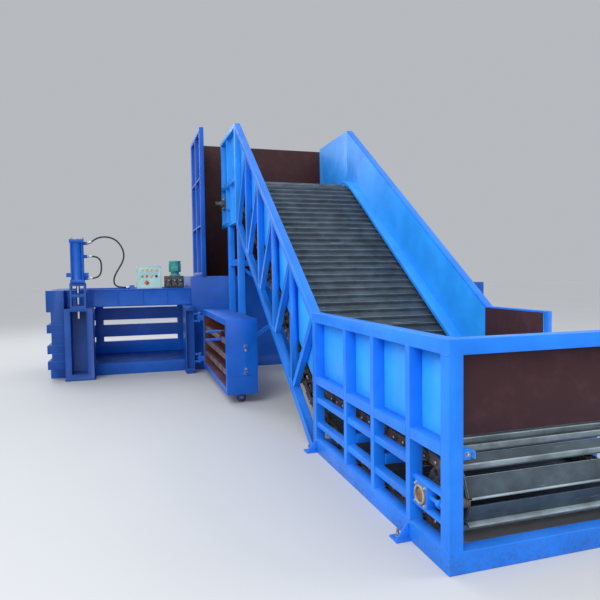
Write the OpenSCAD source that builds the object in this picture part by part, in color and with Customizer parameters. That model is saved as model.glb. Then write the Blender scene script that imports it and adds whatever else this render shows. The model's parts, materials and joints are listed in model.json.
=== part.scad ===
// Recycling baler line: a slatted apron conveyor climbs from a low feed trough to a tall hopper,
// which drops waste in front of the ram of a horizontal press with a side door and a door lock.
// Sizes are in millimetres. The building datum is the front left floor corner of the conveyor,
// X runs to the right, Y away along the conveyor and Z up.

/* [Conveyor frame] */
// Width over the two side frames
conv_w = 1800; // [1600:50:2100]
// Length of the level feed trough, up to the bend of its top rail
feed_l = 2114; // [1900:10:2400]
// Height of the feed trough
feed_h = 1175; // [1150:5:1300]
// Square tube of the frames
tube = 80; // [70:5:90]
// Flat bar width of the truss webs
web = 60; // [50:5:70]
// Thickness of the side sheets
sheet = 5; // [4:1:8]
// Open loading side on the right, measured from the front
load_gap = 1411; // [1200:10:1500]
// Rise angle of the incline
rise = 36; // [34:1:38]
// Reach of the two head side panels past the head shaft
head_reach = 345; // [320:5:370]
// Height of the two head side panels
head_h = 1400; // [1300:20:1450]
// Panels of each truss
truss_bays = 5; // [4:1:6]

/* [Apron] */
// Chain pitch, one pan to a link
pitch = 125; // [120:1:130]
// Links on the carrying run
run_links = 55; // [54:1:56]
// Height of the wheel centre at the tail
tail_z = 300; // [290:5:340]
// Distance of the tail shaft from the front
tail_y = 300; // [280:10:310]
// Height of the chain line over the head wheels
head_line = 2790; // [2760:10:2830]
// Radius of the track bend at the foot of the incline, at the chain line
bend_r = 1100; // [1000:50:1200]
// Radius of the track bend at the top of the incline, at the chain line
crest_r = 1000; // [900:50:1100]
// Distance of the track bend beyond the bend of the top rail
bend_set = 62; // [40:2:90]
// Roller radius of the chain
roller_r = 30; // [26:1:32]
// Thickness of a chain side bar
bar_t = 8; // [6:1:10]
// Thickness of a pan
pan_t = 5; // [4:1:6]
// Height of the cleat along each pan
cleat_h = 30; // [24:1:34]
// Diameter of the tail and head shafts
shaft_d = 80; // [70:5:90]

/* [Press body] */
// Distance of the press front from the conveyor front
press_y = 6550; // [6500:10:6700]
// Width over the press side walls
press_w = 1300; // [1200:20:1400]
// Depth of a press side wall
wall = 100; // [80:5:120]
// Height of the bale chamber over its top beam
press_h = 1310; // [1280:10:1360]
// Height of the base frame under the chamber
base_h = 172; // [160:2:190]
// Height of the top beam
beam_h = 268; // [250:2:280]
// Height of a tying slot in the rear wall
slot_h = 86; // [70:2:100]
// Length of the bale chamber from the corner post to the lock column
chamber_l = 1320; // [1250:10:1400]
// Length of the feed mouth under the hopper
mouth_l = 1700; // [1600:20:1800]
// Height of the feed section of the press
mouth_h = 1490; // [1450:10:1540]
// Length of the cylinder frame behind the feed mouth
tail_l = 3500; // [3450:50:3700]

/* [Door lock] */
// Width of the lock column
column_w = 392; // [372:4:420]
// Depth of the lock column
column_d = 345; // [320:5:350]
// Travel of the lock bar
lock_stroke = 300; // [280:10:320]
// Outer diameter of the lock cylinder
lock_cyl_d = 170; // [150:5:180]
// Diameter of the lock bar
lock_bar_d = 50; // [44:2:56]
// Height of the lock cylinder head above the floor
lock_top = 2045; // [2040:5:2100]

/* [Side door] */
// Length of the side door
door_l = 2150; // [2100:10:2180]
// Height of the side door
door_h = 880; // [840:10:900]
// Thickness of the side door
door_t = 365; // [340:5:375]
// Radius of the hinge barrel
hinge_r = 32; // [28:1:36]
// Radius of the hinge pin
pin_r = 18; // [15:1:20]

/* [Ram] */
// Length of the ram
ram_l = 900; // [850:10:950]
// Diameter of the ram rod
rod_d = 150; // [130:5:160]
// Outer diameter of the main cylinder
main_d = 300; // [280:5:320]

/* [Hopper] */
// Height of the hopper rim above the floor
hopper_top = 3830; // [3780:10:3900]
// Room for the gear motor between the conveyor side and the hopper's right wall
motor_room = 464; // [430:2:500]
// Distance of the hopper's left wall from the conveyor side
hopper_x = 376; // [360:4:400]
// Rise of the hopper's sloping floor
slope_rise = 600; // [540:10:660]
// Depth of the hopper from front to back
hopper_l = 1250; // [1200:10:1300]

/* [Power unit] */
// Gap between the hopper's right wall and the oil tank
tank_gap = 236; // [200:4:280]
// Width of the oil tank
tank_w = 1100; // [1000:20:1150]
// Depth of the oil tank
tank_d = 1180; // [1160:10:1190]
// Height of the oil tank
tank_h = 560; // [500:10:600]
// Width of the control box
box_w = 370; // [360:5:380]
// Height of the control box
box_h = 350; // [340:5:380]

/* [Hidden] */
$fn = 48;

// Running clearance of a shaft or pin in its bore
run_gap = 0.06;
// Gap between pieces that stand against each other
seat = 0.3;
// Overlap that makes two bars of one weldment one solid
weld = 1;

// Apron geometry
teeth = 8;
step = 360 / teeth;
rc = pitch / (2 * sin(step / 2));
wrap_links = teeth / 2;
low_z = tail_z + rc;
high_z = head_line;
head_z = high_z - rc;
turn = rise * PI / 180;
level_l = feed_l + bend_set - bend_r * tan(rise / 2) - tail_y;
slope_l = (high_z - low_z - (bend_r + crest_r) * (1 - cos(rise))) / sin(rise);
bend_y = tail_y + level_l;
crest_y = bend_y + (bend_r + crest_r) * sin(rise) + slope_l * cos(rise);
run_l = run_links * pitch;
head_y = crest_y + run_l - level_l - slope_l - (bend_r + crest_r) * turn;
inner_gap = 50;
chain_x = 150;
bar_h = 2 * (roller_r + 2);
narrow = inner_gap / 2 + bar_t;
broad = narrow + bar_t + seat;
pan_gap = 5;
pan_lift = bar_h / 2 + seat;
cleat_t = 6;
track_t = 12;
track_w = inner_gap - 14;
track_gap = 15;
tooth_h = 10;
guard_d = bar_h / 2 + 84;
guard_lip = 36;

// Conveyor side geometry
apex_y = 5528;
apex_z = feed_h + (apex_y - feed_l) * tan(rise);
chord_foot_y = feed_l + 90;
head_end = head_y + head_reach;
head_l = head_end - apex_y;
head_foot_z = apex_z - head_h;
leg_y = [apex_y - 130, apex_y + 640];
leg_w = 90;
tie_low = 700;
tie_high = 1640;
brace_low = 500;
sill_h = 115;
mid_rail_z = 620;
post_keep = 60;
guard_w = chain_x + broad + 14 - tube - seat;
guard_z = low_z + guard_d;
bay = (apex_y - feed_l) / truss_bays;

// Press geometry, along X from the end wall to the end of the cylinder frame
post_w = 130;
post_x = -550;
chamber_x = post_x - post_w - chamber_l;
column_x = chamber_x - column_w;
end_t = 240;
end_x = column_x - end_t;
mouth_end = post_x + mouth_l + 200;
press_end = mouth_end + tail_l;
press_back = press_y + press_w;
beam_z = press_h - beam_h;
chamber_h = beam_z - base_h;
lock_x = column_x + column_w / 2;
lock_y = press_y - column_d + 70;
yoke_h = 370;
yoke_top = beam_z + yoke_h;
ram_x = mouth_end;
ram_h = chamber_h - 20;
axis_z = base_h + chamber_h / 2;
axis_y = press_y + press_w / 2;
front_head = mouth_end + ram_l + 100;

// Side door geometry, at rest at a right angle to the press
hinge_x = post_x + 80;
hinge_y = press_y - column_d - hinge_r + 10;
door_x = hinge_x + 40;
door_end = hinge_y - 70;
door_y = door_end - door_l;
door_z = 110;
leaf_z = [door_z + 90, door_z + door_h - 170];
lug_z = [700, 800];

// Places of the control box, the valve block and the oil tank on the press
box_x = -1370;
valve_x = -950;
hopper_right = conv_w + motor_room;
tank_x = hopper_right + tank_gap;

// Middle of the footprint, which becomes the origin
mid_x = (end_x + press_end) / 2;
mid_y = press_back / 2;

// Middle lines of the two lock hoses, each as [x, y, z] from the building datum
port_x = lock_x + 155 + seat;
cap_port_z = lock_top - 55;
valve_port_z = 1800;
rod_port_z = yoke_top + 70;
cap_route = [
    [port_x, lock_y, cap_port_z], [-2005, 6282, 2004], [-1955, 6305, 2044],
    [-1890, 6340, 2078], [-1820, 6372, 2090], [-1750, 6400, 2084], [-1680, 6425, 2058],
    [-1625, 6450, 2010], [-1580, 6475, 1940], [-1556, 6492, 1865], [-1556, 6505, 1790],
    [-1580, 6515, 1715], [-1618, 6522, 1645], [-1660, 6527, 1575], [-1693, 6532, 1505],
    [-1706, 6540, 1440], [-1695, 6550, 1385], [-1655, 6565, 1350], [-1600, 6580, 1338],
    [-1545, 6590, 1335], [-1480 - seat, 6590, 1335]
];
loop_route = [
    [port_x, lock_y, valve_port_z], [-2005, 6276, 1800], [-1960, 6282, 1797],
    [-1915, 6292, 1780], [-1885, 6300, 1745], [-1872, 6304, 1700], [-1870, 6305, 1650],
    [-1872, 6304, 1600], [-1884, 6300, 1550], [-1912, 6292, 1510], [-1955, 6282, 1489],
    [-2003, 6276, 1483], [port_x, lock_y, rod_port_z]
];
hose_r = 12;

// Shifts the building datum to the middle of the footprint
module placed() {
    translate([-mid_x, -mid_y, 0]) children();
}

// Point at length s of the line that runs at distance d above the carrying chain line
function along(s, d) =
    let (
        r1 = bend_r - d,
        r2 = crest_r + d,
        s1 = level_l,
        s2 = s1 + r1 * turn,
        s3 = s2 + slope_l,
        s4 = s3 + r2 * turn
    )
    s < s1 ? [tail_y + s, low_z + d]
    : s < s2 ? let (a = (s - s1) / r1 * 180 / PI)
        [bend_y + r1 * sin(a), low_z + bend_r - r1 * cos(a)]
    : s < s3
        ? [bend_y + r1 * sin(rise) + (s - s2) * cos(rise),
           low_z + bend_r - r1 * cos(rise) + (s - s2) * sin(rise)]
    : s < s4 ? let (a = rise - (s - s3) / r2 * 180 / PI)
        [crest_y - r2 * sin(a), high_z - crest_r + r2 * cos(a)]
    : [crest_y + s - s4, high_z + d];

// Lengths at which a band along that line needs a corner
arc_steps = 24;
function stations(s0, s1, d) =
    let (
        a1 = (bend_r - d) * turn,
        a2 = (crest_r + d) * turn,
        crest_s = level_l + a1 + slope_l
    )
    concat(
        [s0],
        [for (i = [0:arc_steps]) let (s = level_l + i * a1 / arc_steps)
            if (s > s0 + weld && s < s1 - weld) s],
        [for (i = [0:arc_steps]) let (s = crest_s + i * a2 / arc_steps)
            if (s > s0 + weld && s < s1 - weld) s],
        [s1]
    );

// Length along that line, on the incline, at distance y from the front
function slope_s(y, d) =
    level_l + (bend_r - d) * turn + (y - bend_y - (bend_r - d) * sin(rise)) / cos(rise);

// Chain pins in order: round the tail wheel, up the carrying run, round the head, down again
pins = concat(
    [for (i = [0:wrap_links - 1])
        [tail_y + rc * cos(270 - i * step), tail_z + rc * sin(270 - i * step)]],
    [for (i = [0:run_links - 1]) along(i * pitch, 0)],
    [for (i = [0:wrap_links - 1])
        [head_y + rc * cos(90 - i * step), head_z + rc * sin(90 - i * step)]],
    [for (i = [0:run_links - 1]) along(run_l - i * pitch, -2 * rc)]
);
links = len(pins);

// Places a child, drawn along Y from the first pin, on link i
module on_link(i) {
    a = pins[i];
    b = pins[(i + 1) % links];
    translate([0, a[0], a[1]])
        rotate([atan2(b[1] - a[1], b[0] - a[0]), 0, 0])
            children();
}

function link_l(i) = norm(pins[(i + 1) % links] - pins[i]);

// A straight bar in a plane of constant X, from point a to point b given as [y, z]
module strut(a, b, x, wide, deep) {
    d = b - a;
    translate([x, a[0], a[1]])
        rotate([atan2(d[1], d[0]), 0, 0])
            translate([0, 0, -deep / 2])
                cube([wide, norm(d), deep]);
}

// An outline in Y and Z, extruded along X
module slab(x, wide, points) {
    translate([x, 0, 0])
        rotate([90, 0, 90])
            linear_extrude(wide) polygon(points);
}

function reversed(list) = [for (i = [len(list) - 1:-1:0]) list[i]];

// A band along the carrying run between two distances from the chain line
module run_band(x, wide, low, high, s0, s1) {
    slab(x, wide, concat(
        [for (s = stations(s0, s1, low)) along(s, low)],
        reversed([for (s = stations(s0, s1, high)) along(s, high)])
    ));
}

// A cylinder along X
module rod_x(x, y, z, long, r) {
    translate([x, y, z]) rotate([0, 90, 0]) cylinder(h = long, r = r);
}

module mirror_conveyor() {
    translate([conv_w, 0, 0]) mirror([1, 0, 0]) children();
}

// Posts of the left side of the feed trough, with their front faces at these places
bay_posts = [0, 400, 880, load_gap - post_keep, feed_l - tube];
bay_post_w = 50;

module side_of_feed(long_wall) {
    cube([tube, feed_l, sill_h]);
    for (i = [0:4])
        translate([0, bay_posts[i], 0])
            cube([tube, i == 0 || i == 4 ? tube : bay_post_w, feed_h - weld]);
    top_from = long_wall ? 0 : bay_posts[3];
    translate([0, top_from, feed_h - tube]) cube([tube, feed_l - top_from, tube]);
    translate([0, 0, mid_rail_z - tube / 2]) cube([tube, feed_l, tube - 20]);
    for (z = [mid_rail_z - 200, mid_rail_z - 405])
        translate([10, bay_posts[1], z]) cube([tube - 20, feed_l - bay_posts[1], 45]);
}

module feed_frame() placed() color("dodgerblue") {
    side_of_feed(true);
    mirror_conveyor() difference() {
        side_of_feed(false);
        translate([-weld, tube, mid_rail_z + 60])
            cube([tube + 2 * weld, bay_posts[3] - tube, feed_h]);
    }
    cube([conv_w, tube, sill_h]);
    translate([0, 0, feed_h - tube]) cube([conv_w, tube, tube]);
    translate([0, feed_l - tube, 0]) cube([conv_w, tube, tube]);
}

// Cover plate over one chain with a lip beside the pans, between two lengths along the run
module chain_guard(s0, s1) {
    run_band(tube + seat, guard_w, guard_d, guard_d + sheet, s0, s1);
    run_band(tube + seat + guard_w - sheet, sheet, guard_d - guard_lip, guard_d + weld, s0, s1);
}

// Side sheet of the feed trough with its chain cover, full height from one place on
module trough_side(full_from) {
    r = bend_r - guard_d;
    front = tube + seat;
    translate([tube + seat, full_from, guard_z])
        cube([sheet, feed_l - full_from, feed_h - guard_z - 10]);
    if (full_from > front)
        translate([tube + seat, front, guard_z])
            cube([sheet, full_from - front + weld, mid_rail_z + 60 - guard_z]);
    chain_guard(front - tail_y, level_l + r * asin((feed_l - 5 - bend_y) / r) * PI / 180);
}

module feed_side_left() placed() color("steelblue") trough_side(tube + seat);

module feed_side_right() placed() color("steelblue")
    mirror_conveyor() trough_side(bay_posts[3]);

module tail_plate() placed() color("saddlebrown") {
    low = mid_rail_z + 50;
    wide = conv_w - 2 * (tube + sheet + 2 * seat);
    translate([tube + sheet + 2 * seat, tube + seat, low])
        cube([wide, sheet, feed_h - low - 10]);
    translate([tube + sheet + 2 * seat, tube + seat, low]) cube([wide, 45, sheet]);
}

// Rails under the rollers of both runs, on flat brackets from the posts, webs and head panels
module track_bracket(s, d, x) {
    p = along(s, d);
    q = along(s + weld, d);
    translate([x, p[0], p[1]])
        rotate([atan2(q[1] - p[1], q[0] - p[0]), 0, 0])
            translate([0, -25, -10]) cube([chain_x + track_w / 2 - x, 50, 10]);
}

module track() {
    under = rc - roller_r - seat;
    past_tail = sqrt(pow(under, 2) - pow(under - track_t, 2)) + track_gap;
    past_head = sqrt(pow(rc + tooth_h, 2) - pow(under - track_t, 2)) + track_gap;
    for (upper = [true, false]) {
        d = (upper ? 0 : -2 * rc) - roller_r - seat - track_t;
        from = upper ? past_tail : track_gap;
        to = run_l - (upper ? past_head : 2 * track_gap);
        run_band(chain_x - track_w / 2, track_w, d, d + track_t, from, to);
        for (i = [1:3])
            track_bracket(bay_posts[i] + bay_post_w / 2 - tail_y, d + weld, tube + seat);
        for (i = [1:truss_bays - 1]) {
            s = slope_s(feed_l + i * bay, d);
            track_bracket(s, d + weld, truss_face(along(s, d + weld)) + seat);
        }
        track_bracket(run_l - past_head - 60, d + weld, tube + seat);
    }
}

// Inner face of the truss at one place, where the foot chord stands out past its webs
function truss_face(p) =
    abs(p[1] - foot_z(p[0])) < tube / 2 / cos(atan(foot_slope)) + 15 ? tube : tube - 5;

module track_left() placed() color("slategray") track();
module track_right() placed() color("slategray") mirror_conveyor() track();

function chord_z(y) = feed_h - tube / 2 + (y - feed_l) * tan(rise);
foot_slope = (head_foot_z - 30) / (apex_y + 60 - chord_foot_y);
function foot_z(y) = 30 + (y - chord_foot_y) * foot_slope;

// One side of the inclined truss: two chords, upright webs and diagonals that fall away
module truss() {
    intersection() {
        union() {
            strut([feed_l - 60, chord_z(feed_l - 60)], [apex_y + 60, chord_z(apex_y + 60)],
                0, tube, tube);
            strut([feed_l - 60, foot_z(feed_l - 60)], [apex_y + 60, foot_z(apex_y + 60)],
                0, tube, tube);
            for (i = [1:truss_bays - 1]) {
                y = feed_l + i * bay;
                strut([y, foot_z(y)], [y, chord_z(y)], 5, tube - 10, web);
            }
            for (i = [0:truss_bays - 1]) {
                y = feed_l + i * bay;
                strut([y + 20, chord_z(y + 20)], [y + bay - 20, foot_z(y + bay - 20)],
                    10, tube - 20, web);
            }
        }
        slab(-weld, tube + 2 * weld,
            [[feed_l, 0], [apex_y, 0], [apex_y, apex_z], [feed_l, feed_h]]);
    }
}

module truss_left() placed() color("dodgerblue") truss();
module truss_right() placed() color("dodgerblue") mirror_conveyor() truss();

// Side sheet of the incline with its chain cover
module skirt() {
    low = -20;
    y0 = feed_l + 5;
    y1 = apex_y - 5;
    s0 = level_l + (bend_r - low) * asin((y0 - bend_y) / (bend_r - low)) * PI / 180;
    s1 = level_l + (bend_r - low) * turn + slope_l
        + (crest_r + low) * (rise - asin((crest_y - y1) / (crest_r + low))) * PI / 180;
    slab(tube + seat, sheet, concat(
        [for (s = stations(s0, s1, low)) along(s, low)],
        [[y1, apex_z - 15 - (apex_y - y1)], [y0, feed_h - 15]]
    ));
    chain_guard(s0 + 20, s1 - 20);
}

module skirt_left() placed() color("steelblue") skirt();
module skirt_right() placed() color("steelblue") mirror_conveyor() skirt();

// Framed side panel of the conveyor head, with the bearing hole of the head shaft
module head_side() {
    rail_z = head_foot_z + 600;
    difference() {
        union() {
            for (y = [apex_y, head_end - 60])
                translate([0, y, head_foot_z]) cube([tube, 60, head_h]);
            for (z = [head_foot_z, rail_z, apex_z - 60])
                translate([0, apex_y, z]) cube([tube, head_l, 60]);
            translate([10, apex_y + 760, rail_z]) cube([tube - 20, 45, apex_z - rail_z]);
            for (y = [apex_y + 500, apex_y + 860])
                translate([10, y, head_foot_z]) cube([tube - 20, 45, 620]);
            translate([tube - sheet - 10, apex_y, head_foot_z]) cube([sheet + 10, head_l, head_h]);
        }
        rod_x(-weld, head_y, head_z, tube + 2 * weld, shaft_d / 2 + 12);
    }
    difference() {
        translate([0, head_y - 130, head_z - 100]) cube([tube, 260, 200]);
        rod_x(-weld, head_y, head_z, tube + 2 * weld, shaft_d / 2 + 12);
    }
}

module head_side_left() placed() color("dodgerblue") head_side();
module head_side_right() placed() color("dodgerblue") mirror_conveyor() head_side();

// Four legs under the head with ties along and across
module conveyor_legs() placed() color("royalblue") {
    below = tube / 2 / cos(atan(foot_slope)) + seat;
    for (x = [0, conv_w - leg_w]) {
        y = leg_y[0];
        slab(x, leg_w, [
            [y, 0], [y + leg_w, 0], [y + leg_w, foot_z(y + leg_w) - below], [y, foot_z(y) - below]
        ]);
        translate([x, leg_y[1], 0]) cube([leg_w, leg_w, head_foot_z - seat]);
        for (y = leg_y)
            translate([x - (x == 0 ? 0 : 20), y - 10, 0]) cube([leg_w + 20, leg_w + 20, 15]);
        for (z = [tie_low, tie_high])
            translate([x + 10, leg_y[0], z]) cube([leg_w - 20, leg_y[1] - leg_y[0], leg_w]);
    }
    for (y = leg_y)
        translate([0, y + 10, tie_high]) cube([conv_w, leg_w - 20, 70]);
    for (d = [[brace_low, tie_high - 40], [tie_high - 40, brace_low]])
        brace_x(leg_w / 2, d[0], conv_w - leg_w / 2, d[1], leg_y[0] + 20, 50);
}

// A diagonal bar across the conveyor, in a plane of constant Y
module brace_x(x0, z0, x1, z1, y, size) {
    d = [x1 - x0, z1 - z0];
    translate([x0, y, z0])
        rotate([0, -atan2(d[1], d[0]), 0])
            translate([0, 0, -size / 2]) cube([norm(d), size, size]);
}

module cross_ties() placed() color("royalblue") {
    for (y = [bay_posts[2] - 5, bay_posts[3] - 5])
        translate([tube + seat, y, tail_z - 35]) cube([conv_w - 2 * (tube + seat), 60, 70]);
    for (i = [1:truss_bays - 1]) {
        y = feed_l + i * bay;
        p = along(slope_s(y, -rc), -rc);
        x = tube - 5 + seat;
        translate([x, y - 25, p[1] - 25]) cube([conv_w - 2 * x, 50, 50]);
    }
}

// One pan between the two chains: a plate with a low cleat near its trailing edge and an ear
// against the side bar at each end
module pan(long, inner) {
    x = chain_x + (inner ? narrow : broad) + seat;
    wide = conv_w - 2 * x;
    ear_t = 6;
    translate([x, pan_gap / 2, pan_lift]) cube([wide, long - pan_gap, pan_t]);
    translate([x, pan_gap / 2 + 6, pan_lift + pan_t - weld])
        cube([wide, cleat_t, cleat_h + weld]);
    for (e = [x, x + wide - ear_t])
        translate([e, long / 2 - 28, -bar_h / 2 + 12]) cube([ear_t, 56, pan_lift + bar_h / 2 - 11]);
}

module apron_pans() placed() color("lightsteelblue")
    for (i = [0:links - 1]) on_link(i) pan(link_l(i), i % 2 == 0);

// One chain link: two side bars and, on every second link, its two rollers
module chain_link(long, inner) {
    out = inner ? narrow : broad;
    for (side = [-1, 1])
        translate([side * (out - bar_t / 2) - bar_t / 2, 0, 0])
            rotate([90, 0, 90]) linear_extrude(bar_t) {
                translate([0, -bar_h / 2]) square([long, bar_h]);
                for (y = [0, long]) translate([y, 0]) circle(bar_h / 2);
            }
    if (inner)
        for (y = [0, long]) rod_x(weld - out, y, 0, 2 * (out - weld), roller_r);
    else
        for (side = [-1, 1], y = [0, long]) rod_x(side * (out + 4) - 5, y, 0, 10, 13);
}

module chain() {
    for (i = [0:links - 1])
        translate([chain_x, 0, 0]) on_link(i) chain_link(link_l(i), i % 2 == 0);
}

module chain_left() placed() color("dimgray") chain();
module chain_right() placed() color("dimgray") mirror_conveyor() chain();

// Plain tail wheels that the rollers turn on, with spoke holes, on their shaft
module tail_wheels() placed() color("darkslategray") {
    rim = rc - roller_r - seat;
    difference() {
        union() {
            rod_x(14, tail_y, tail_z, conv_w - 28, shaft_d / 2);
            for (x = [chain_x, conv_w - chain_x]) {
                rod_x(x - 15, tail_y, tail_z, 30, rim);
                rod_x(x - 45, tail_y, tail_z, 90, shaft_d / 2 + 25);
            }
        }
        for (a = [0:60:300])
            rod_x(-weld, tail_y + rim * 0.72 * cos(a), tail_z + rim * 0.72 * sin(a),
                conv_w + 2 * weld, 17);
    }
}

// Take-up bearings of the tail shaft: block, slide rails and adjusting screw on each side
module take_up() {
    difference() {
        union() {
            translate([12, tail_y - 62, tail_z - 62]) cube([56, 124, 124]);
            rod_x(4, tail_y, tail_z, 72, 56);
        }
        rod_x(0, tail_y, tail_z, tube + 10, shaft_d / 2 + run_gap);
    }
    for (z = [tail_z - 62 - seat - 16, tail_z + 62 + seat])
        translate([14, tube + seat, z]) cube([50, bay_posts[1] - tube - 2 * seat, 16]);
    translate([40, tube + seat, tail_z])
        rotate([-90, 0, 0]) cylinder(h = tail_y - 62 - tube - seat + weld, r = 12);
    translate([40, tube + 60, tail_z]) rotate([-90, 0, 0]) cylinder(h = 22, r = 24, $fn = 6);
}

module tail_bearings() placed() color("slategray") {
    take_up();
    mirror_conveyor() take_up();
}

// Head shaft with two toothed wheels whose pockets hold the rollers
module head_shaft() placed() color("darkslategray") difference() {
    union() {
        rod_x(-150, head_y, head_z, conv_w + 260, shaft_d / 2);
        for (x = [chain_x, conv_w - chain_x]) {
            rod_x(x - 15, head_y, head_z, 30, rc + tooth_h);
            rod_x(x - 45, head_y, head_z, 90, shaft_d / 2 + 25);
        }
    }
    for (i = [0:teeth - 1])
        for (x = [chain_x, conv_w - chain_x])
            rod_x(x - 16, head_y + rc * cos(90 - i * step),
                head_z + rc * sin(90 - i * step), 32, roller_r + seat);
}

module flange_bearing() {
    difference() {
        union() {
            translate([-24, head_y - 85, head_z - 85]) cube([24 - seat, 170, 170]);
            rod_x(-64, head_y, head_z, 60, 62);
        }
        rod_x(-70, head_y, head_z, 80, shaft_d / 2 + run_gap);
        for (a = [45:90:315])
            rod_x(-30, head_y + 92 * cos(a), head_z + 92 * sin(a), 40, 8);
    }
}

module head_bearings() placed() color("slategray") {
    flange_bearing();
    mirror_conveyor() flange_bearing();
}

// Shaft mounted gear motor on the right of the head, with its torque arm
module gear_motor() placed() color("seagreen") {
    x = conv_w + 66;
    difference() {
        union() {
            translate([x, head_y - 110, head_z - 130]) cube([150, 220, 260]);
            rod_x(x, head_y, head_z, 175, 90);
            translate([x + 75, head_y, head_z + 130 - weld]) cylinder(h = 60, r = 95);
            translate([x + 75, head_y, head_z + 180]) cylinder(h = 300, r = 80);
            for (a = [0:20:340])
                translate([x + 75, head_y, head_z + 200])
                    rotate([0, 0, a]) translate([78, -3, 0]) cube([14, 6, 250]);
            translate([x + 75, head_y, head_z + 470]) cylinder(h = 60, r = 92);
        }
        rod_x(x - weld, head_y, head_z, 200, shaft_d / 2 + run_gap);
    }
    translate([conv_w + seat, head_y + 88, head_z - 20]) cube([150, 40, 40]);
    translate([x + 60, head_y + 100, head_z - 20]) cube([30, 90, 40]);
}

// Anchor lugs at the foot of the feed trough: a foot plate with a bolt hole beside its gusset
lug_reach = 90;
lug_w = 90;
anchor_hole_r = 9;
anchor_hole = [-50, 62];

module anchor() {
    difference() {
        translate([-lug_reach, 0, 0]) cube([lug_reach - weld, lug_w, 10]);
        translate([anchor_hole[0], anchor_hole[1], -weld])
            cylinder(h = 10 + 2 * weld, r = anchor_hole_r);
    }
    translate([0, 28, 0]) rotate([90, 0, 0]) linear_extrude(8)
        polygon([[10 - lug_reach, 9], [-seat, 9], [-seat, 90], [-18, 90]]);
}

module anchor_feet() placed() color("dodgerblue")
    for (side = [0, 1])
        translate([side * conv_w, 0, 0]) mirror([side, 0, 0])
            for (y = [bay_posts[1] - 10, feed_l - lug_w - 5]) translate([0, y, 0]) anchor();

// Hopper walls: sheet with channel stiffeners outside and a flange at the rim
hopper_y = press_y - 30;
hopper_end = hopper_y + hopper_l;
hopper_z = mouth_h + seat;
hopper_w = hopper_right + hopper_x;
rib = 60;

module hopper_side_sheet() {
    tall = hopper_top - hopper_z;
    translate([rib, 0, 0]) cube([sheet + 3, hopper_l, tall]);
    for (y = [0, hopper_l / 2 - rib / 2, hopper_l - rib])
        translate([0, y, 0]) cube([rib + weld, rib, tall]);
    for (z = [0, tall * 0.34, tall * 0.66, tall - rib])
        translate([0, 0, z]) cube([rib + weld, hopper_l, z == 0 || z > tall * 0.9 ? rib : 22]);
}

module hopper_left() placed() color("royalblue")
    translate([-hopper_x, hopper_y, hopper_z]) hopper_side_sheet();

module hopper_right() placed() color("royalblue")
    translate([hopper_right, hopper_y, hopper_z]) mirror([1, 0, 0]) hopper_side_sheet();

module hopper_back() placed() color("saddlebrown")
    translate([-hopper_x, hopper_end + seat, hopper_z]) {
        tall = hopper_top - hopper_z;
        cube([hopper_w, sheet + 3, tall]);
        for (x = [0:(hopper_w - rib) / 4:hopper_w])
            translate([x, sheet + 2, 0]) cube([rib, rib, tall]);
        for (z = [0, tall / 2, tall - rib])
            translate([0, sheet + 2, z]) cube([hopper_w, rib, rib]);
    }

// Sloping floor sheet that brings the wide hopper down to the shorter feed mouth
module hopper_slope() placed() color("royalblue") {
    x0 = mouth_end - 60;
    x1 = hopper_right - rib - sheet - 3 - seat;
    translate([0, hopper_end - seat, 0]) rotate([90, 0, 0])
        linear_extrude(hopper_l - seat)
            polygon([
                [x0, hopper_z], [x0 + 60, hopper_z], [x1, hopper_z + slope_rise],
                [x1, hopper_z + slope_rise + 15], [x0, hopper_z + 14]
            ]);
}

// Base of the press: two skid beams, floor plate and cross members
module press_base() placed() color("navy") {
    long = mouth_end - end_x;
    for (y = [press_y, press_back - wall])
        translate([end_x, y, 0]) cube([long, wall, base_h]);
    translate([column_x, press_y, base_h - 20]) cube([mouth_end - column_x, press_w, 20]);
    for (i = [0:5])
        translate([end_x + i * (long - 90) / 5, press_y + wall - weld, 0])
            cube([90, press_w - 2 * wall + 2 * weld, 90]);
}

// Rear wall of the bale chamber: three beams with tying slots over each, between end posts
module rear_wall() placed() color("navy")
    translate([column_x + seat, press_back - wall, base_h + seat]) {
        long = post_x - column_x - seat;
        band = (chamber_h - 3 * slot_h) / 3;
        for (i = [0:2])
            translate([0, 0, i * (slot_h + band)]) cube([long, wall, band - (i == 2 ? seat : 0)]);
        for (x = [0, column_w - 60, long - post_w])
            translate([x, 0, 0]) cube([x == 0 ? 60 : post_w, wall, chamber_h - 2 * seat]);
    }

// End wall that closes the bale chamber: box beams across it on a plate
module end_wall() placed() color("navy") {
    y0 = press_y - column_d + 60;
    deep = press_back - y0;
    translate([column_x - 20, y0, base_h + seat]) cube([20, deep, press_h - base_h - seat]);
    for (z = [base_h + seat, 400, 700, beam_z - 40])
        translate([end_x, y0, z]) cube([end_t - 19, deep, z > 900 ? press_h - z : 120]);
    for (y = [y0, (y0 + press_back) / 2 - 40, press_back - 80])
        translate([end_x + 60, y, base_h + seat]) cube([end_t - 61, 80, press_h - base_h - seat]);
}

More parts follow.
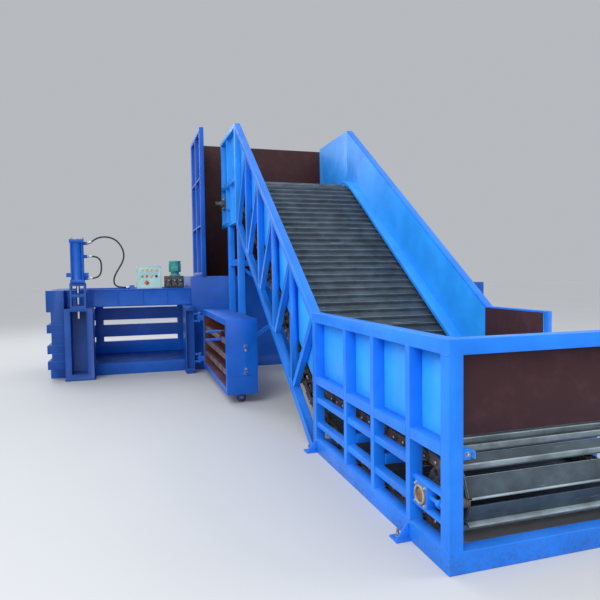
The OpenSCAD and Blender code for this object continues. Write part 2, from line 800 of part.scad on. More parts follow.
// Top of the bale chamber: two ribbed beams, cross members and a roof plate
module press_top() placed() color("navy") {
    x = column_x + seat;
    long = post_x - x;
    z = beam_z + seat;
    translate([x, press_y, z]) cube([long, press_w, 20]);
    for (y = [press_y + 10, press_back - 20])
        translate([x, y, z]) cube([long, 10, beam_h - seat]);
    for (y = [press_y, press_back - wall])
        translate([x, y, press_h - 20]) cube([long, wall, 20]);
    for (i = [0:5])
        for (y = [press_y, press_back - wall])
            translate([x + i * (long - 20) / 5, y, z]) cube([20, wall, beam_h - seat]);
    for (i = [0:3])
        translate([x + i * (long - 80) / 3, press_y + 15, z + 19])
            cube([80, press_w - 30, beam_h - 80]);
    translate([box_x - 40, press_y + wall - weld, press_h - 20]) cube([post_x - box_x + 40, 240, 20]);
    for (dx = [0, post_x - box_x - 10])
        translate([box_x - 40 + dx, press_y + wall, z + 19]) cube([50, 230, beam_h - 38]);
    translate([hose_block_x, press_y + 5, press_h - weld]) cube([70, 80, 56]);
}
hose_block_x = -1480;

// Side walls of the feed mouth, taller than the bale chamber
module mouth_side() {
    long = mouth_end - post_x - seat;
    tall = mouth_h - base_h - seat;
    cube([long, 20, tall]);
    for (i = [0:4])
        translate([i * (long - 60) / 4, 0, 0]) cube([60, wall - 10, tall]);
    for (z = [0, tall / 2, tall - 60]) translate([0, 0, z]) cube([long, wall - 10, 60]);
    translate([0, wall - 15, 0]) cube([long, 15, chamber_h]);
}

module mouth_side_near() placed() color("navy")
    translate([post_x + seat, press_y, base_h + seat]) mouth_side();

module mouth_side_far() placed() color("navy")
    translate([post_x + seat, press_back, base_h + seat]) mirror([0, 1, 0]) mouth_side();

// Cross plates that close both ends of the feed mouth over the ram, with a shear edge below
module mouth_beams() placed() color("navy") {
    y = press_y + wall + seat;
    wide = press_w - 2 * wall - 2 * seat;
    for (x = [post_x + seat, mouth_end - 40])
        translate([x, y, beam_z + seat]) {
            cube([40, wide, mouth_h - beam_z - seat]);
            cube([x < 0 ? 90 : 40, wide, 60]);
        }
    translate([post_x + 39, y, mouth_h - 20]) cube([-hopper_x - post_x + 20, wide, 20]);
}

// Corner post of the doorway, which the door hinges hang from
module hinge_post() placed() color("navy") difference() {
    translate([post_x - post_w, press_y - column_d, 0])
        cube([post_w, column_d + wall, press_h - beam_h]);
    translate([post_x - post_w + 12, press_y - column_d - weld, 80])
        cube([post_w - 24, 90, press_h - beam_h - 160]);
    translate([post_x - post_w - weld, press_y - seat, -weld])
        cube([post_w + 2 * weld, wall + seat + 2 * weld, base_h + seat + weld]);
}

// Lock column: a channel open to the front, under a ladder yoke that carries the lock cylinder
module lock_column() placed() color("navy")
    translate([column_x, press_y - column_d, 0]) difference() {
        post_top = beam_z;
        yoke_w = 220;
        yoke_d = 2 * (lock_y - press_y + column_d);
        cheek = 30;
        side = (column_w - 220) / 2;
        union() {
            cube([column_w, column_d - seat, post_top]);
            translate([-10, -10, 0]) cube([column_w + 20, column_d, 25]);
            translate([column_w / 2 - yoke_w / 2, 0, post_top - weld])
                cube([yoke_w, yoke_d, yoke_h + weld]);
        }
        translate([side, -weld, 90]) cube([220, column_d - 60, post_top - 130]);
        for (z = [post_top + 40, post_top + 205])
            translate([column_w / 2 - yoke_w / 2 + cheek, -weld, z])
                cube([yoke_w - 2 * cheek, yoke_d + 2 * weld, 125]);
        translate([lock_x - column_x, lock_y - press_y + column_d, post_top - 60])
            cylinder(h = yoke_h + 80, r = lock_bar_d / 2 + run_gap);
    }

// Lock bar with its piston, raised at rest
bar_foot = lug_z[0] - 100 + lock_stroke;
piston_z = lock_top - 20 - 75;

module lock_bar() placed() color("silver")
    translate([lock_x, lock_y, 0]) {
        translate([0, 0, bar_foot]) cylinder(h = piston_z - bar_foot + weld, r = lock_bar_d / 2);
        translate([0, 0, piston_z]) cylinder(h = 60, r = lock_cyl_d / 2 - 15 - run_gap);
    }

// Lock cylinder: tube between square heads held by four tie rods, with hose ports at the side
module lock_cylinder() placed() color("mediumblue")
    translate([lock_x, lock_y, 0]) difference() {
        foot = yoke_top + seat;
        union() {
            translate([0, 0, foot]) cylinder(h = lock_top - foot, r = lock_cyl_d / 2);
            for (z = [foot, lock_top - 50]) translate([-95, -95, z]) cube([190, 190, 50]);
            for (x = [-76, 76], t = [-76, 76])
                translate([x, t, foot]) cylinder(h = lock_top - foot + 14, r = 11);
            for (z = [rod_port_z, cap_port_z, valve_port_z])
                rod_x(lock_cyl_d / 2 - 20, 0, z, 155 - lock_cyl_d / 2 + 20, 24);
            translate([-150, -30, foot + 90]) cube([300, 60, 60]);
        }
        translate([0, 0, foot + 20]) cylinder(h = lock_top - foot - 40, r = lock_cyl_d / 2 - 15);
        translate([0, 0, foot - weld]) cylinder(h = 40, r = lock_bar_d / 2 + run_gap);
    }

// Side door: a deep box open towards the press, with lock lugs near its free end
rail = 75;
skin = 12;

module side_door() placed() color("dodgerblue") {
    difference() {
        union() {
            difference() {
                translate([door_x, door_y, door_z]) cube([door_t, door_l, door_h]);
                translate([door_x - weld, door_y + rail, door_z + rail])
                    cube([door_t - skin + weld, door_l - 2 * rail, door_h - 2 * rail]);
            }
            for (i = [1:3])
                translate([door_x + 150, door_y + i * door_l / 4 - 20, door_z + rail - weld])
                    cube([door_t - 150 - skin + weld, 40, door_h - 2 * rail + 2 * weld]);
            for (z = leaf_z) {
                translate([hinge_x, door_end - 30, z]) cube([door_t / 2, 30, 80]);
                translate([hinge_x - 12, door_end - 30, z]) cube([24, 100, 80]);
                translate([hinge_x, hinge_y, z]) cylinder(h = 80, r = hinge_r);
            }
            for (z = [door_z + 250, door_z + 560])
                translate([door_x + door_t * 0.62, door_y + weld, z])
                    rotate([90, 0, 0]) cylinder(h = 25, r = 16, $fn = 6);
        }
        for (z = leaf_z)
            translate([hinge_x, hinge_y, z - 10]) cylinder(h = 100, r = pin_r + run_gap);
        translate([door_x + door_t / 2 - 45, door_y + 64, door_z - weld]) cube([90, 132, 40]);
    }
    lug_x = hinge_x - (lock_y - hinge_y);
    lug_y = hinge_y + lock_x - hinge_x;
    for (z = lug_z)
        difference() {
            union() {
                translate([lug_x, lug_y - 40, z]) cube([door_x + 151 - lug_x, 80, 25]);
                translate([lug_x, lug_y, z]) cylinder(h = 25, r = 40);
            }
            translate([lug_x, lug_y, z - weld]) cylinder(h = 30, r = lock_bar_d / 2 + 5);
        }
    translate([door_x + 140, lug_y - 60, door_z + rail - weld])
        cube([door_t - 140 - skin + weld, 120, door_h - 2 * rail + 2 * weld]);
    for (side = [-1, 1])
        difference() {
            translate([door_x + door_t / 2 - 35, door_y + 130 + side * 35 - 5, 40])
                cube([70, 10, door_z + weld]);
            wheel_axle(12 + run_gap);
        }
}

// Three wear bars across the open face of the door, notched into its rails
module wear_bars() placed() color("saddlebrown")
    for (i = [1:3])
        translate([door_x + 8, door_y + rail + seat,
            door_z + rail + i * (door_h - 2 * rail) / 4 - 42])
            difference() {
                cube([60, door_l - 2 * rail - 2 * seat, 66]);
                translate([-weld, lock_x - hinge_x + door_l + 70 - rail - 50, -weld])
                    cube([62, i == 3 ? 100 : 0, 70]);
            }

module wheel_axle(r) {
    translate([door_x + door_t / 2, door_y + 130 - 50, 62])
        rotate([-90, 0, 0]) cylinder(h = 100, r = r);
}

// Roller under the free end of the side door
module door_wheel() placed() color("dimgray") {
    translate([door_x + door_t / 2, door_y + 130 - 24, 62])
        rotate([-90, 0, 0]) cylinder(h = 48, r = 60);
    translate([door_x + door_t / 2, door_y + 130 - 45, 62])
        rotate([-90, 0, 0]) cylinder(h = 90, r = 12);
}

// Hinge brackets on the corner post with the two pins of the side door
module hinge_brackets() placed() color("navy")
    for (z = leaf_z) {
        for (t = [-30 - seat, 80 + seat])
            translate([0, 0, z + t]) {
                translate([post_x + seat, hinge_y, 0]) cube([hinge_x - post_x - seat, 110, 30]);
                translate([hinge_x - weld, hinge_y, 0]) cube([20, 80, 30]);
                translate([hinge_x, hinge_y, 0]) cylinder(h = 30, r = hinge_r);
            }
        translate([hinge_x, hinge_y, z - 30]) cylinder(h = 150, r = pin_r);
    }

// Ram with slots for the tying wires in its face and an open back
module ram() placed() color("darkred") {
    wide = press_w - 2 * wall - 16;
    y = press_y + wall + 8;
    z = base_h + seat;
    difference() {
        translate([ram_x + seat, y, z]) cube([ram_l, wide, ram_h]);
        translate([ram_x + 60, y + 40, z + 40]) cube([ram_l, wide - 80, ram_h - 80]);
        for (i = [1:3])
            translate([ram_x - weld, y - weld, z + i * ram_h / 4 - 12])
                cube([26, wide + 2 * weld, 24]);
    }
    translate([ram_x + 59, axis_y, axis_z]) rotate([0, 90, 0])
        cylinder(h = 50, r = rod_d / 2 + 60);
}

ram_piston_x = press_end - 260;

module ram_rod() placed() color("silver") {
    from = ram_x + 109 + seat;
    rod_x(from, axis_y, axis_z, ram_piston_x - from + weld, rod_d / 2);
    rod_x(ram_piston_x, axis_y, axis_z, 70, main_d / 2 - 25 - run_gap);
}

module main_cylinder() placed() color("mediumblue") difference() {
    union() {
        rod_x(front_head, axis_y, axis_z, press_end - 60 - front_head, main_d / 2);
        rod_x(front_head, axis_y, axis_z, 90, main_d / 2 + 45);
        rod_x(press_end - 150, axis_y, axis_z, 60, main_d / 2 + 45);
        for (x = [front_head + 190, press_end - 330])
            translate([x, axis_y, axis_z + main_d / 2 - 20]) cylinder(h = 90, r = 32);
    }
    rod_x(front_head + 100, axis_y, axis_z, press_end - 270 - front_head + 100, main_d / 2 - 25);
    rod_x(front_head - weld, axis_y, axis_z, 110, rod_d / 2 + run_gap);
}

// Open frame that carries the main cylinder behind the feed mouth
module cylinder_frame() placed() color("navy") {
    long = press_end - mouth_end - seat;
    x = mouth_end + seat;
    beam = wall;
    for (y = [press_y, press_back - beam])
        for (z = [0, press_h - beam])
            translate([x, y, z]) cube([long, beam, beam]);
    for (dx = [0, ram_l + 100, long * 0.6, long - beam])
        for (y = [press_y, press_back - beam])
            translate([x + dx, y, 0]) cube([beam, beam, press_h]);
    for (dx = [0, long - beam])
        for (z = [0, press_h - beam])
            translate([x + dx, press_y, z]) cube([beam, press_w, beam]);
    for (y = [press_y, press_back - beam])
        translate([hopper_right - beam, y, press_h - weld])
            cube([beam, beam, mouth_h - press_h + weld]);
    translate([x, press_y + beam - weld, base_h - 20])
        cube([ram_l + 80, press_w - 2 * beam + 2 * weld, 20]);
    for (dx = [front_head + 90 + seat, press_end - 150 - 50 - seat])
        difference() {
            translate([dx, press_y + beam - weld, 0])
                cube([50, press_w - 2 * beam + 2 * weld, press_h]);
            rod_x(mouth_end, axis_y, axis_z, long, main_d / 2 + seat);
        }
}

// Oil tank across the cylinder frame, with filler neck
module oil_tank() placed() color("royalblue")
    translate([tank_x, axis_y - tank_d / 2, press_h + seat]) {
        translate([0, 0, 50]) cube([tank_w, tank_d, tank_h - 50]);
        for (x = [40, tank_w - 100]) translate([x, 0, 0]) cube([60, tank_d, 51]);
        translate([tank_w - 110, 110, tank_h - weld]) cylinder(h = 60, r = 45);
    }

// Pump motor that stands on the valve block
valve_h = 190;

module pump_motor() placed() color("teal")
    translate([valve_x + 165, press_y + 140, press_h + valve_h + 2 * seat]) {
        translate([-80, -80, 0]) cube([160, 160, 20]);
        cylinder(h = 60, r = 62);
        translate([0, 0, 59]) cylinder(h = 150, r = 84);
        for (a = [0:20:340])
            rotate([0, 0, a]) translate([82, -3, 66]) cube([12, 6, 130]);
        translate([0, 0, 208]) cylinder(h = 26, r = 92);
        translate([-40, -125, 80]) cube([80, 60, 80]);
    }

// Valve block with a row of valves, on the roof of the press
module valve_block() placed() color("dimgray")
    translate([valve_x, press_y + 10, press_h + seat]) {
        cube([290, 270, valve_h]);
        for (i = [0:2]) {
            translate([20 + i * 90, -34, 30]) cube([70, 35, 120]);
            translate([55 + i * 90, -33, 120]) rotate([90, 0, 0]) cylinder(h = 26, r = 20);
            translate([55 + i * 90, -33, 60]) rotate([90, 0, 0]) cylinder(h = 18, r = 14);
        }
    }

// Places of the knobs and lamps on the front of the control box, as [x, z]
button_places = [[80, 190], [145, 190], [210, 190], [145, 90], [290, 190]];
lamp_x = [80, 145, 210, 290];
box_y = press_y + 10;
box_z = press_h + seat;

module control_box() placed() color("powderblue")
    translate([box_x, box_y, box_z]) difference() {
        cube([box_w, 180, box_h]);
        for (p = button_places)
            translate([p[0], -weld, p[1]]) rotate([-90, 0, 0]) cylinder(h = 41, r = 11 + run_gap);
    }

module button_at(i, cap_r, cap_h) {
    p = button_places[i];
    translate([box_x + p[0], box_y, box_z + p[1]]) rotate([90, 0, 0]) {
        translate([0, 0, -30]) cylinder(h = 39, r = 11);
        translate([0, 0, 8]) cylinder(h = cap_h, r = cap_r);
    }
}

module start_button() placed() color("limegreen") button_at(0, 16, 8);
module stop_button() placed() color("crimson") button_at(1, 16, 8);
module lock_button() placed() color("gold") button_at(2, 16, 8);
module emergency_button() placed() color("red") button_at(3, 26, 16);

module selector_knob() placed() color("black") {
    button_at(4, 18, 8);
    p = button_places[4];
    translate([box_x + p[0] - 5, box_y - 30, box_z + p[1] - 16]) cube([10, 15, 32]);
}

module signal_lamps() placed() color("gold")
    for (x = lamp_x)
        translate([box_x + x, box_y - seat, box_z + 285]) rotate([90, 0, 0])
            cylinder(h = 12, r = 15);

// Tube swept along a route as one closed mesh of rings
function unit(v) = v / norm(v);
function heading(route, i) =
    unit(route[min(i + 1, len(route) - 1)] - route[max(i - 1, 0)]);
function squared(route, i) =
    i == 0 || i == len(route) - 1 ? [1, 0, 0] * sign(heading(route, i)[0]) : heading(route, i);

module hose(route, r) {
    sides = 10;
    n = len(route);
    rings = [for (i = [0:n - 1])
        let (t = squared(route, i), u = unit(cross(t, [0.08, 0.97, 0.22])), v = cross(t, u))
        for (k = [0:sides - 1])
            route[i] + r * cos(k * 360 / sides) * u + r * sin(k * 360 / sides) * v];
    polyhedron(rings, concat(
        [[for (k = [0:sides - 1]) k]],
        [for (i = [0:n - 2], k = [0:sides - 1])
            let (a = i * sides, b = a + sides, m = (k + 1) % sides)
            [a + k, b + k, b + m, a + m]],
        [[for (k = [sides - 1:-1:0]) (n - 1) * sides + k]]
    ), convexity = 6);
}

module cap_hose() placed() color("black") hose(cap_route, hose_r);
module loop_hose() placed() color("black") hose(loop_route, hose_r);

feed_frame();
feed_side_left();
feed_side_right();
tail_plate();
track_left();
track_right();
truss_left();
truss_right();
skirt_left();
skirt_right();
head_side_left();
head_side_right();
conveyor_legs();
cross_ties();
apron_pans();
chain_left();
chain_right();
tail_wheels();
tail_bearings();
head_shaft();
head_bearings();
gear_motor();
anchor_feet();
hopper_left();
hopper_right();
hopper_back();
hopper_slope();
press_base();
rear_wall();
end_wall();
press_top();
mouth_side_near();
mouth_side_far();
mouth_beams();
hinge_post();
lock_column();
lock_bar();
lock_cylinder();
side_door();
wear_bars();
door_wheel();
hinge_brackets();
ram();
ram_rod();
main_cylinder();
cylinder_frame();
oil_tank();
pump_motor();
valve_block();
control_box();
signal_lamps();
start_button();
stop_button();
lock_button();
emergency_button();
selector_knob();
cap_hose();
loop_hose();
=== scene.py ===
"""Looks of the recycling baler line: finishes, hoses, fasteners, trim and the studio round it."""

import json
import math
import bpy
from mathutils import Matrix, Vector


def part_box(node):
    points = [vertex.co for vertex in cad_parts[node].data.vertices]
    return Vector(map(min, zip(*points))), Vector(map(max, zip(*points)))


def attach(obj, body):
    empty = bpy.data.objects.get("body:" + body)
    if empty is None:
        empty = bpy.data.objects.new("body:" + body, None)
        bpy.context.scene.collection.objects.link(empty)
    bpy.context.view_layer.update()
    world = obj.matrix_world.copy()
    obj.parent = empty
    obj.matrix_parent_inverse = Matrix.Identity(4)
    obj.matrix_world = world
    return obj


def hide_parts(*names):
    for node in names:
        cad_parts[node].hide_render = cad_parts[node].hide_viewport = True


bl_info = {
    "name": "Recycling Baler Looks",
    "version": (1, 0, 0),
    "blender": (4, 5, 0),
    "location": "3D Viewport > Sidebar > Baler",
    "description": "Dresses the packed baler line with finishes, hoses, fasteners and a studio",
    "category": "Object",
}

from itertools import product

import bmesh
import bpy
import numpy as np
from bpy.props import FloatProperty, FloatVectorProperty, IntProperty, PointerProperty
from mathutils import Matrix

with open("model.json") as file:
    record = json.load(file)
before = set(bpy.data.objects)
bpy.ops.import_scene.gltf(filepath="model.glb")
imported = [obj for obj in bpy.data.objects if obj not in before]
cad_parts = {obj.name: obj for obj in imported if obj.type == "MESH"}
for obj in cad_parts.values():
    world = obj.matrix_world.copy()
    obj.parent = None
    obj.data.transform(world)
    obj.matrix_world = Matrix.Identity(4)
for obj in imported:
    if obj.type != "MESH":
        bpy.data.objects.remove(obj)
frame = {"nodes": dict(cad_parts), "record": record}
NODES = frame["nodes"]
BODY = {n: b for b, ns in frame["record"]["behaviour"]["bodies"].items() for n in ns}
SLOT = {s["node"]: s["material_slot"] for s in frame["record"]["subparts"]}

# The building datum is the front left floor corner of the conveyor. Places below are given from
# it in metres, and at() carries them into the row frame.
DATUM = np.array(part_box("feed_frame")[0])
UP, DOWN, LEFT, RIGHT, FRONT = (0, 0, 1), (0, 0, -1), (-1, 0, 0), (1, 0, 0), (0, -1, 0)


def at(x, y, z):
    """The point (x, y, z) of the building datum in the row frame."""
    return np.array([x, y, z]) + DATUM


# Sizes and places on the building datum, in metres

# The chain: its pitch, the pins of a run, the wheels' teeth and radius RC, the radii of its two
# bends and the rise between them, and the (y, z) of the tail and head shafts
PITCH, RUN, TEETH = 0.125, 55, 8
RC = PITCH / (2 * math.sin(math.pi / TEETH))
BEND, CREST, RISE = 1.100, 1.000, math.radians(36)
TROUGH, APEX = 2.114, 5.528
TAIL = (0.300, 0.300)
LOW, HIGH = TAIL[1] + RC, 2.790
LEVEL = TROUGH + 0.062 - BEND * math.tan(RISE / 2) - TAIL[0]
SLOPE = (HIGH - LOW - (BEND + CREST) * (1 - math.cos(RISE))) / math.sin(RISE)
BEND_Y = TAIL[0] + LEVEL
CREST_Y = BEND_Y + (BEND + CREST) * math.sin(RISE) + SLOPE * math.cos(RISE)
HEAD = (CREST_Y + RUN * PITCH - LEVEL - SLOPE - (BEND + CREST) * RISE, HIGH - RC)
# The conveyor: its width, the left chain, the (y, width) of the posts, and the legs' corners
WIDE, CHAIN_X = 1.800, 0.150
POSTS = ((0.0, 0.08), (0.40, 0.05), (0.88, 0.05), (1.351, 0.05), (2.034, 0.08))
LEG, LEGS = 0.090, tuple(product((0.0, 1.710), (5.398, 6.168)))
# The press: its lock cylinder with the ports, door, roof, control box, pump, cylinder and tank
LOCK, LOCK_TOP = (-2.196, 6.275), 2.045
PORT_X, PORTS = -2.0410, (1.990, 1.482, 1.800)
DOOR_LOW, DOOR_HIGH = (-0.430, 3.963, 0.110), (-0.065, 6.113, 0.990)
HINGE = (-0.470, 6.183)
ROOF = 1.3103
BOX = (-1.370, 6.560, ROOF)
PUMP, COWL = (-0.785, 6.690), 1.310 + 0.190 + 0.0006 + 0.234
VALVES = [-0.950 + 0.055 + i * 0.090 for i in range(3)]
CYLINDER = (2.350, 7.200, 0.607)
FILLER, TANK = (3.490, 6.720), (2.500, 6.610, 1.8703)
# Profiles of the grease nipples, and the routes of the two hoses
NIPPLE = [(0.006, 0), (0.006, 0.006), (0.0035, 0.008), (0.0035, 0.011), (0.005, 0.013), (0.003, 0.017)]
HEAD_NIPPLE = [(0.007, 0), (0.007, 0.006), (0.004, 0.008), (0.004, 0.012), (0.0055, 0.014), (0.003, 0.018)]
CAP_ROUTE = [
    (-2.0407, 6.275, 1.990), (-2.005, 6.282, 2.004), (-1.955, 6.305, 2.044), (-1.890, 6.340, 2.078),
    (-1.820, 6.372, 2.090), (-1.750, 6.400, 2.084), (-1.680, 6.425, 2.058), (-1.625, 6.450, 2.010),
    (-1.580, 6.475, 1.940), (-1.556, 6.492, 1.865), (-1.556, 6.505, 1.790), (-1.580, 6.515, 1.715),
    (-1.618, 6.522, 1.645), (-1.660, 6.527, 1.575), (-1.693, 6.532, 1.505), (-1.706, 6.540, 1.440),
    (-1.695, 6.550, 1.385), (-1.655, 6.565, 1.350), (-1.600, 6.580, 1.338), (-1.545, 6.590, 1.335),
    (-1.4803, 6.590, 1.335),
]
LOOP_ROUTE = [
    (-2.0407, 6.275, 1.800), (-2.005, 6.276, 1.800), (-1.960, 6.282, 1.797), (-1.915, 6.292, 1.780),
    (-1.885, 6.300, 1.745), (-1.872, 6.304, 1.700), (-1.870, 6.305, 1.650), (-1.872, 6.304, 1.600),
    (-1.884, 6.300, 1.550), (-1.912, 6.292, 1.510), (-1.955, 6.282, 1.489), (-2.003, 6.276, 1.483),
    (-2.0407, 6.275, 1.482),
]


# Surfaces computed with numpy


def put(name, data):
    """A new object with this mesh, lamp or camera, linked to the scene."""
    made = bpy.data.objects.new(name, data)
    bpy.context.scene.collection.objects.link(made)
    return made


class Surface:
    """Vertices and faces gathered from parameter grids, then written to one mesh at a time."""

    def __init__(self):
        self.verts = []
        self.faces = []
        self.count = 0

    def add(self, verts, faces):
        """Appends a block of vertices and its faces."""
        self.verts.append(np.asarray(verts, float))
        self.faces += [tuple(i + self.count for i in f) for f in faces]
        self.count += len(verts)

    def grid(self, points, wrap_u=False, wrap_v=False, caps=False):
        """A net of quads over points[i, j]; i runs along u and j along v."""
        nu, nv = points.shape[:2]
        flat = points.reshape(-1, 3)
        us = range(nu if wrap_u else nu - 1)
        vs = range(nv if wrap_v else nv - 1)
        faces = [
            (i * nv + j, (i + 1) % nu * nv + j, (i + 1) % nu * nv + (j + 1) % nv, i * nv + (j + 1) % nv)
            for i, j in product(us, vs)
        ]
        if caps:
            faces.append(tuple(range(nv)))
            faces.append(tuple((nu - 1) * nv + j for j in reversed(range(nv))))
        self.add(flat, faces)

    def mesh(self, name):
        """All that was gathered, as one mesh."""
        mesh = bpy.data.meshes.new(name)
        mesh.from_pydata(np.vstack(self.verts).tolist(), [], self.faces)
        return mesh

    def build(self, name, body, slot, smooth=35.0, look=None):
        """Makes a piece that rides on a body and takes a material slot, smooth up to an angle."""
        mesh = self.mesh(name)
        mesh.validate()
        shell = bmesh.new()
        shell.from_mesh(mesh)
        bmesh.ops.recalc_face_normals(shell, faces=shell.faces)
        shell.to_mesh(mesh)
        shell.free()
        mesh.shade_smooth()
        mesh.set_sharp_from_angle(angle=math.radians(smooth))
        piece = put(name, mesh)
        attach(piece, body)
        mesh.materials.append(look or material_of(slot))
        return piece


def frame_along(axis):
    """The axis at length 1, and two unit vectors square to it and to each other."""
    axis = np.asarray(axis, float)
    axis /= np.linalg.norm(axis)
    ref = np.array([0.0, 0, 1]) if abs(axis[2]) < 0.9 else np.array([1.0, 0, 0])
    u = np.cross(axis, ref)
    u /= np.linalg.norm(u)
    return axis, u, np.cross(axis, u)


def turned(origin, axis, profile, sides, phase=0.0):
    """p(s, a) = origin + h(s) axis + r(s) (cos a u + sin a v) over the profile of (r, h)."""
    n, u, v = frame_along(axis)
    a = np.arange(sides) * 2 * np.pi / sides + phase
    ring = np.cos(a)[:, None] * u + np.sin(a)[:, None] * v
    prof = np.asarray(profile, float)
    return np.asarray(origin) + prof[:, 1, None, None] * n + prof[:, 0, None, None] * ring[None]


def lathe(surface, origin, axis, profile, sides, phase=0.0):
    """A turned solid: its profile runs from one flat end to the other."""
    surface.grid(turned(origin, axis, profile, sides, phase), wrap_v=True, caps=True)


def hexbolt(surface, origin, axis, r, thread=True, phase=0.0):
    """A washer, a chamfered hexagon and a stub of thread, standing on origin along axis."""
    lathe(surface, origin, axis, [(1.25 * r, 0), (1.25 * r, 0.14 * r), (1.18 * r, 0.2 * r)], 20)
    head = [(r, 0.2 * r), (r, 0.9 * r), (0.93 * r, 1.02 * r), (0.82 * r, 1.06 * r)]
    lathe(surface, origin, axis, head, 6, phase)
    if thread:
        ridges = [(0.56 * r * (1 + 0.06 * (-1) ** i), (1.06 + 0.07 * i) * r) for i in range(9)]
        lathe(surface, origin, axis, ridges + [(0.4 * r, 1.7 * r)], 12)


def dome(surface, origin, axis, r, h, sides, rings):
    """p(t, a): r cos t across and h sin t up, for t from 0 to a quarter turn."""
    t = np.linspace(0, np.pi / 2 * 0.97, rings)
    lathe(surface, origin, axis, np.stack([r * np.cos(t), h * np.sin(t)], 1), sides)


def collar(surface, origin, axis, inner, outer, h, sides):
    """A closed band round the axis between two radii, h high, with its upper edges eased."""
    e = 0.2 * (outer - inner)
    band = [(inner, 0), (inner, h - e), (inner + e, h), (outer - e, h), (outer, h - e), (outer, 0)]
    surface.grid(turned(origin, axis, band, sides), wrap_u=True, wrap_v=True)


def bar_along_x(surface, x0, x1, profile):
    """p(x, k) = (x, y_k, z_k): a closed outline in Y and Z carried straight from x0 to x1."""
    outline = np.asarray(profile, float)
    ends = [np.column_stack([np.full(len(outline), x), outline]) for x in (x0, x1)]
    surface.grid(np.array(ends), wrap_v=True, caps=True)


def box_piece(surface, low, high, bevel):
    """A box with chamfered edges: each corner is cut to three vertices and the faces are joined."""
    low, high = np.minimum(low, high), np.maximum(low, high)
    mid, half = (low + high) / 2, (high - low) / 2
    b = min(bevel, half.min() * 0.6)
    rings = []
    for side, inset in ((-1, b), (-1, 0), (1, 0), (1, b)):
        z = side * (half[2] - (b if inset == 0 else 0))
        hx, hy = half[0] - inset, half[1] - inset
        outline = [(hx, hy - b), (hx - b, hy), (-hx + b, hy), (-hx, hy - b), (-hx, -hy + b), (-hx + b, -hy),
                   (hx - b, -hy), (hx, -hy + b)]
        rings.append([(x, y, z) for x, y in outline])
    surface.grid(np.array(rings) + mid, wrap_v=True, caps=True)


def smooth_line(points, step):
    """A centripetal Catmull-Rom line through points, resampled at about equal steps."""
    p = np.asarray(points, float)
    p = np.vstack([2 * p[0] - p[1], p, 2 * p[-1] - p[-2]])
    out = []
    for i in range(1, len(p) - 2):
        knots = [0.0]
        for k in range(3):
            knots.append(knots[-1] + np.linalg.norm(p[i + k] - p[i + k - 1]) ** 0.5)
        t = np.linspace(knots[1], knots[2], 24, endpoint=False)[:, None]

        def mix(lo, hi, first, second):
            return (hi - t) / (hi - lo) * first + (t - lo) / (hi - lo) * second

        a = [mix(knots[k], knots[k + 1], p[i + k - 1], p[i + k]) for k in range(3)]
        b = [mix(knots[k], knots[k + 2], a[k], a[k + 1]) for k in range(2)]
        out.append(mix(knots[1], knots[2], b[0], b[1]))
    out.append(p[-2][None])
    line = np.vstack(out)
    s = np.concatenate([[0], np.cumsum(np.linalg.norm(np.diff(line, axis=0), axis=1))])
    n = max(8, int(round(s[-1] / step)))
    return np.stack([np.interp(np.linspace(0, s[-1], n), s, line[:, k]) for k in range(3)], 1)


def sweep(surface, line, radius, sides):
    """p(s, a) = line(s) + r (cos a u(s) + sin a v(s)), with u carried along without twist."""
    tangent = np.gradient(line, axis=0)
    tangent /= np.linalg.norm(tangent, axis=1)[:, None]
    _, u, _ = frame_along(tangent[0])
    rings = []
    a = np.arange(sides) * 2 * np.pi / sides
    for p, t in zip(line, tangent):
        u = u - t * u.dot(t)
        u /= np.linalg.norm(u)
        v = np.cross(t, u)
        rings.append(p + radius * (np.cos(a)[:, None] * u + np.sin(a)[:, None] * v))
    surface.grid(np.array(rings), wrap_v=True, caps=True)


def bead(surface, a, b, up, r):
    """A fillet weld from a to b: half a round bar whose radius ripples every 7 mm along it."""
    a, b = np.asarray(a, float), np.asarray(b, float)
    wave, long = 0.007, np.linalg.norm(b - a)
    n = max(4, int(long / (wave / 2)))
    s = np.linspace(0, 1, n)[:, None]
    ripple = 1 + 0.14 * np.abs(np.sin(np.pi * s * long / wave))
    line = a + s * (b - a)
    t, _, _ = frame_along(b - a)
    up = np.asarray(up, float) / np.linalg.norm(up)
    side = np.cross(t, up)
    ang = np.linspace(-0.1 * np.pi, 1.1 * np.pi, 7)
    ring = np.cos(ang)[:, None] * side + np.sin(ang)[:, None] * up * 0.8
    surface.grid(line[:, None, :] + (r * ripple)[:, :, None] * ring[None])


# Shader maths


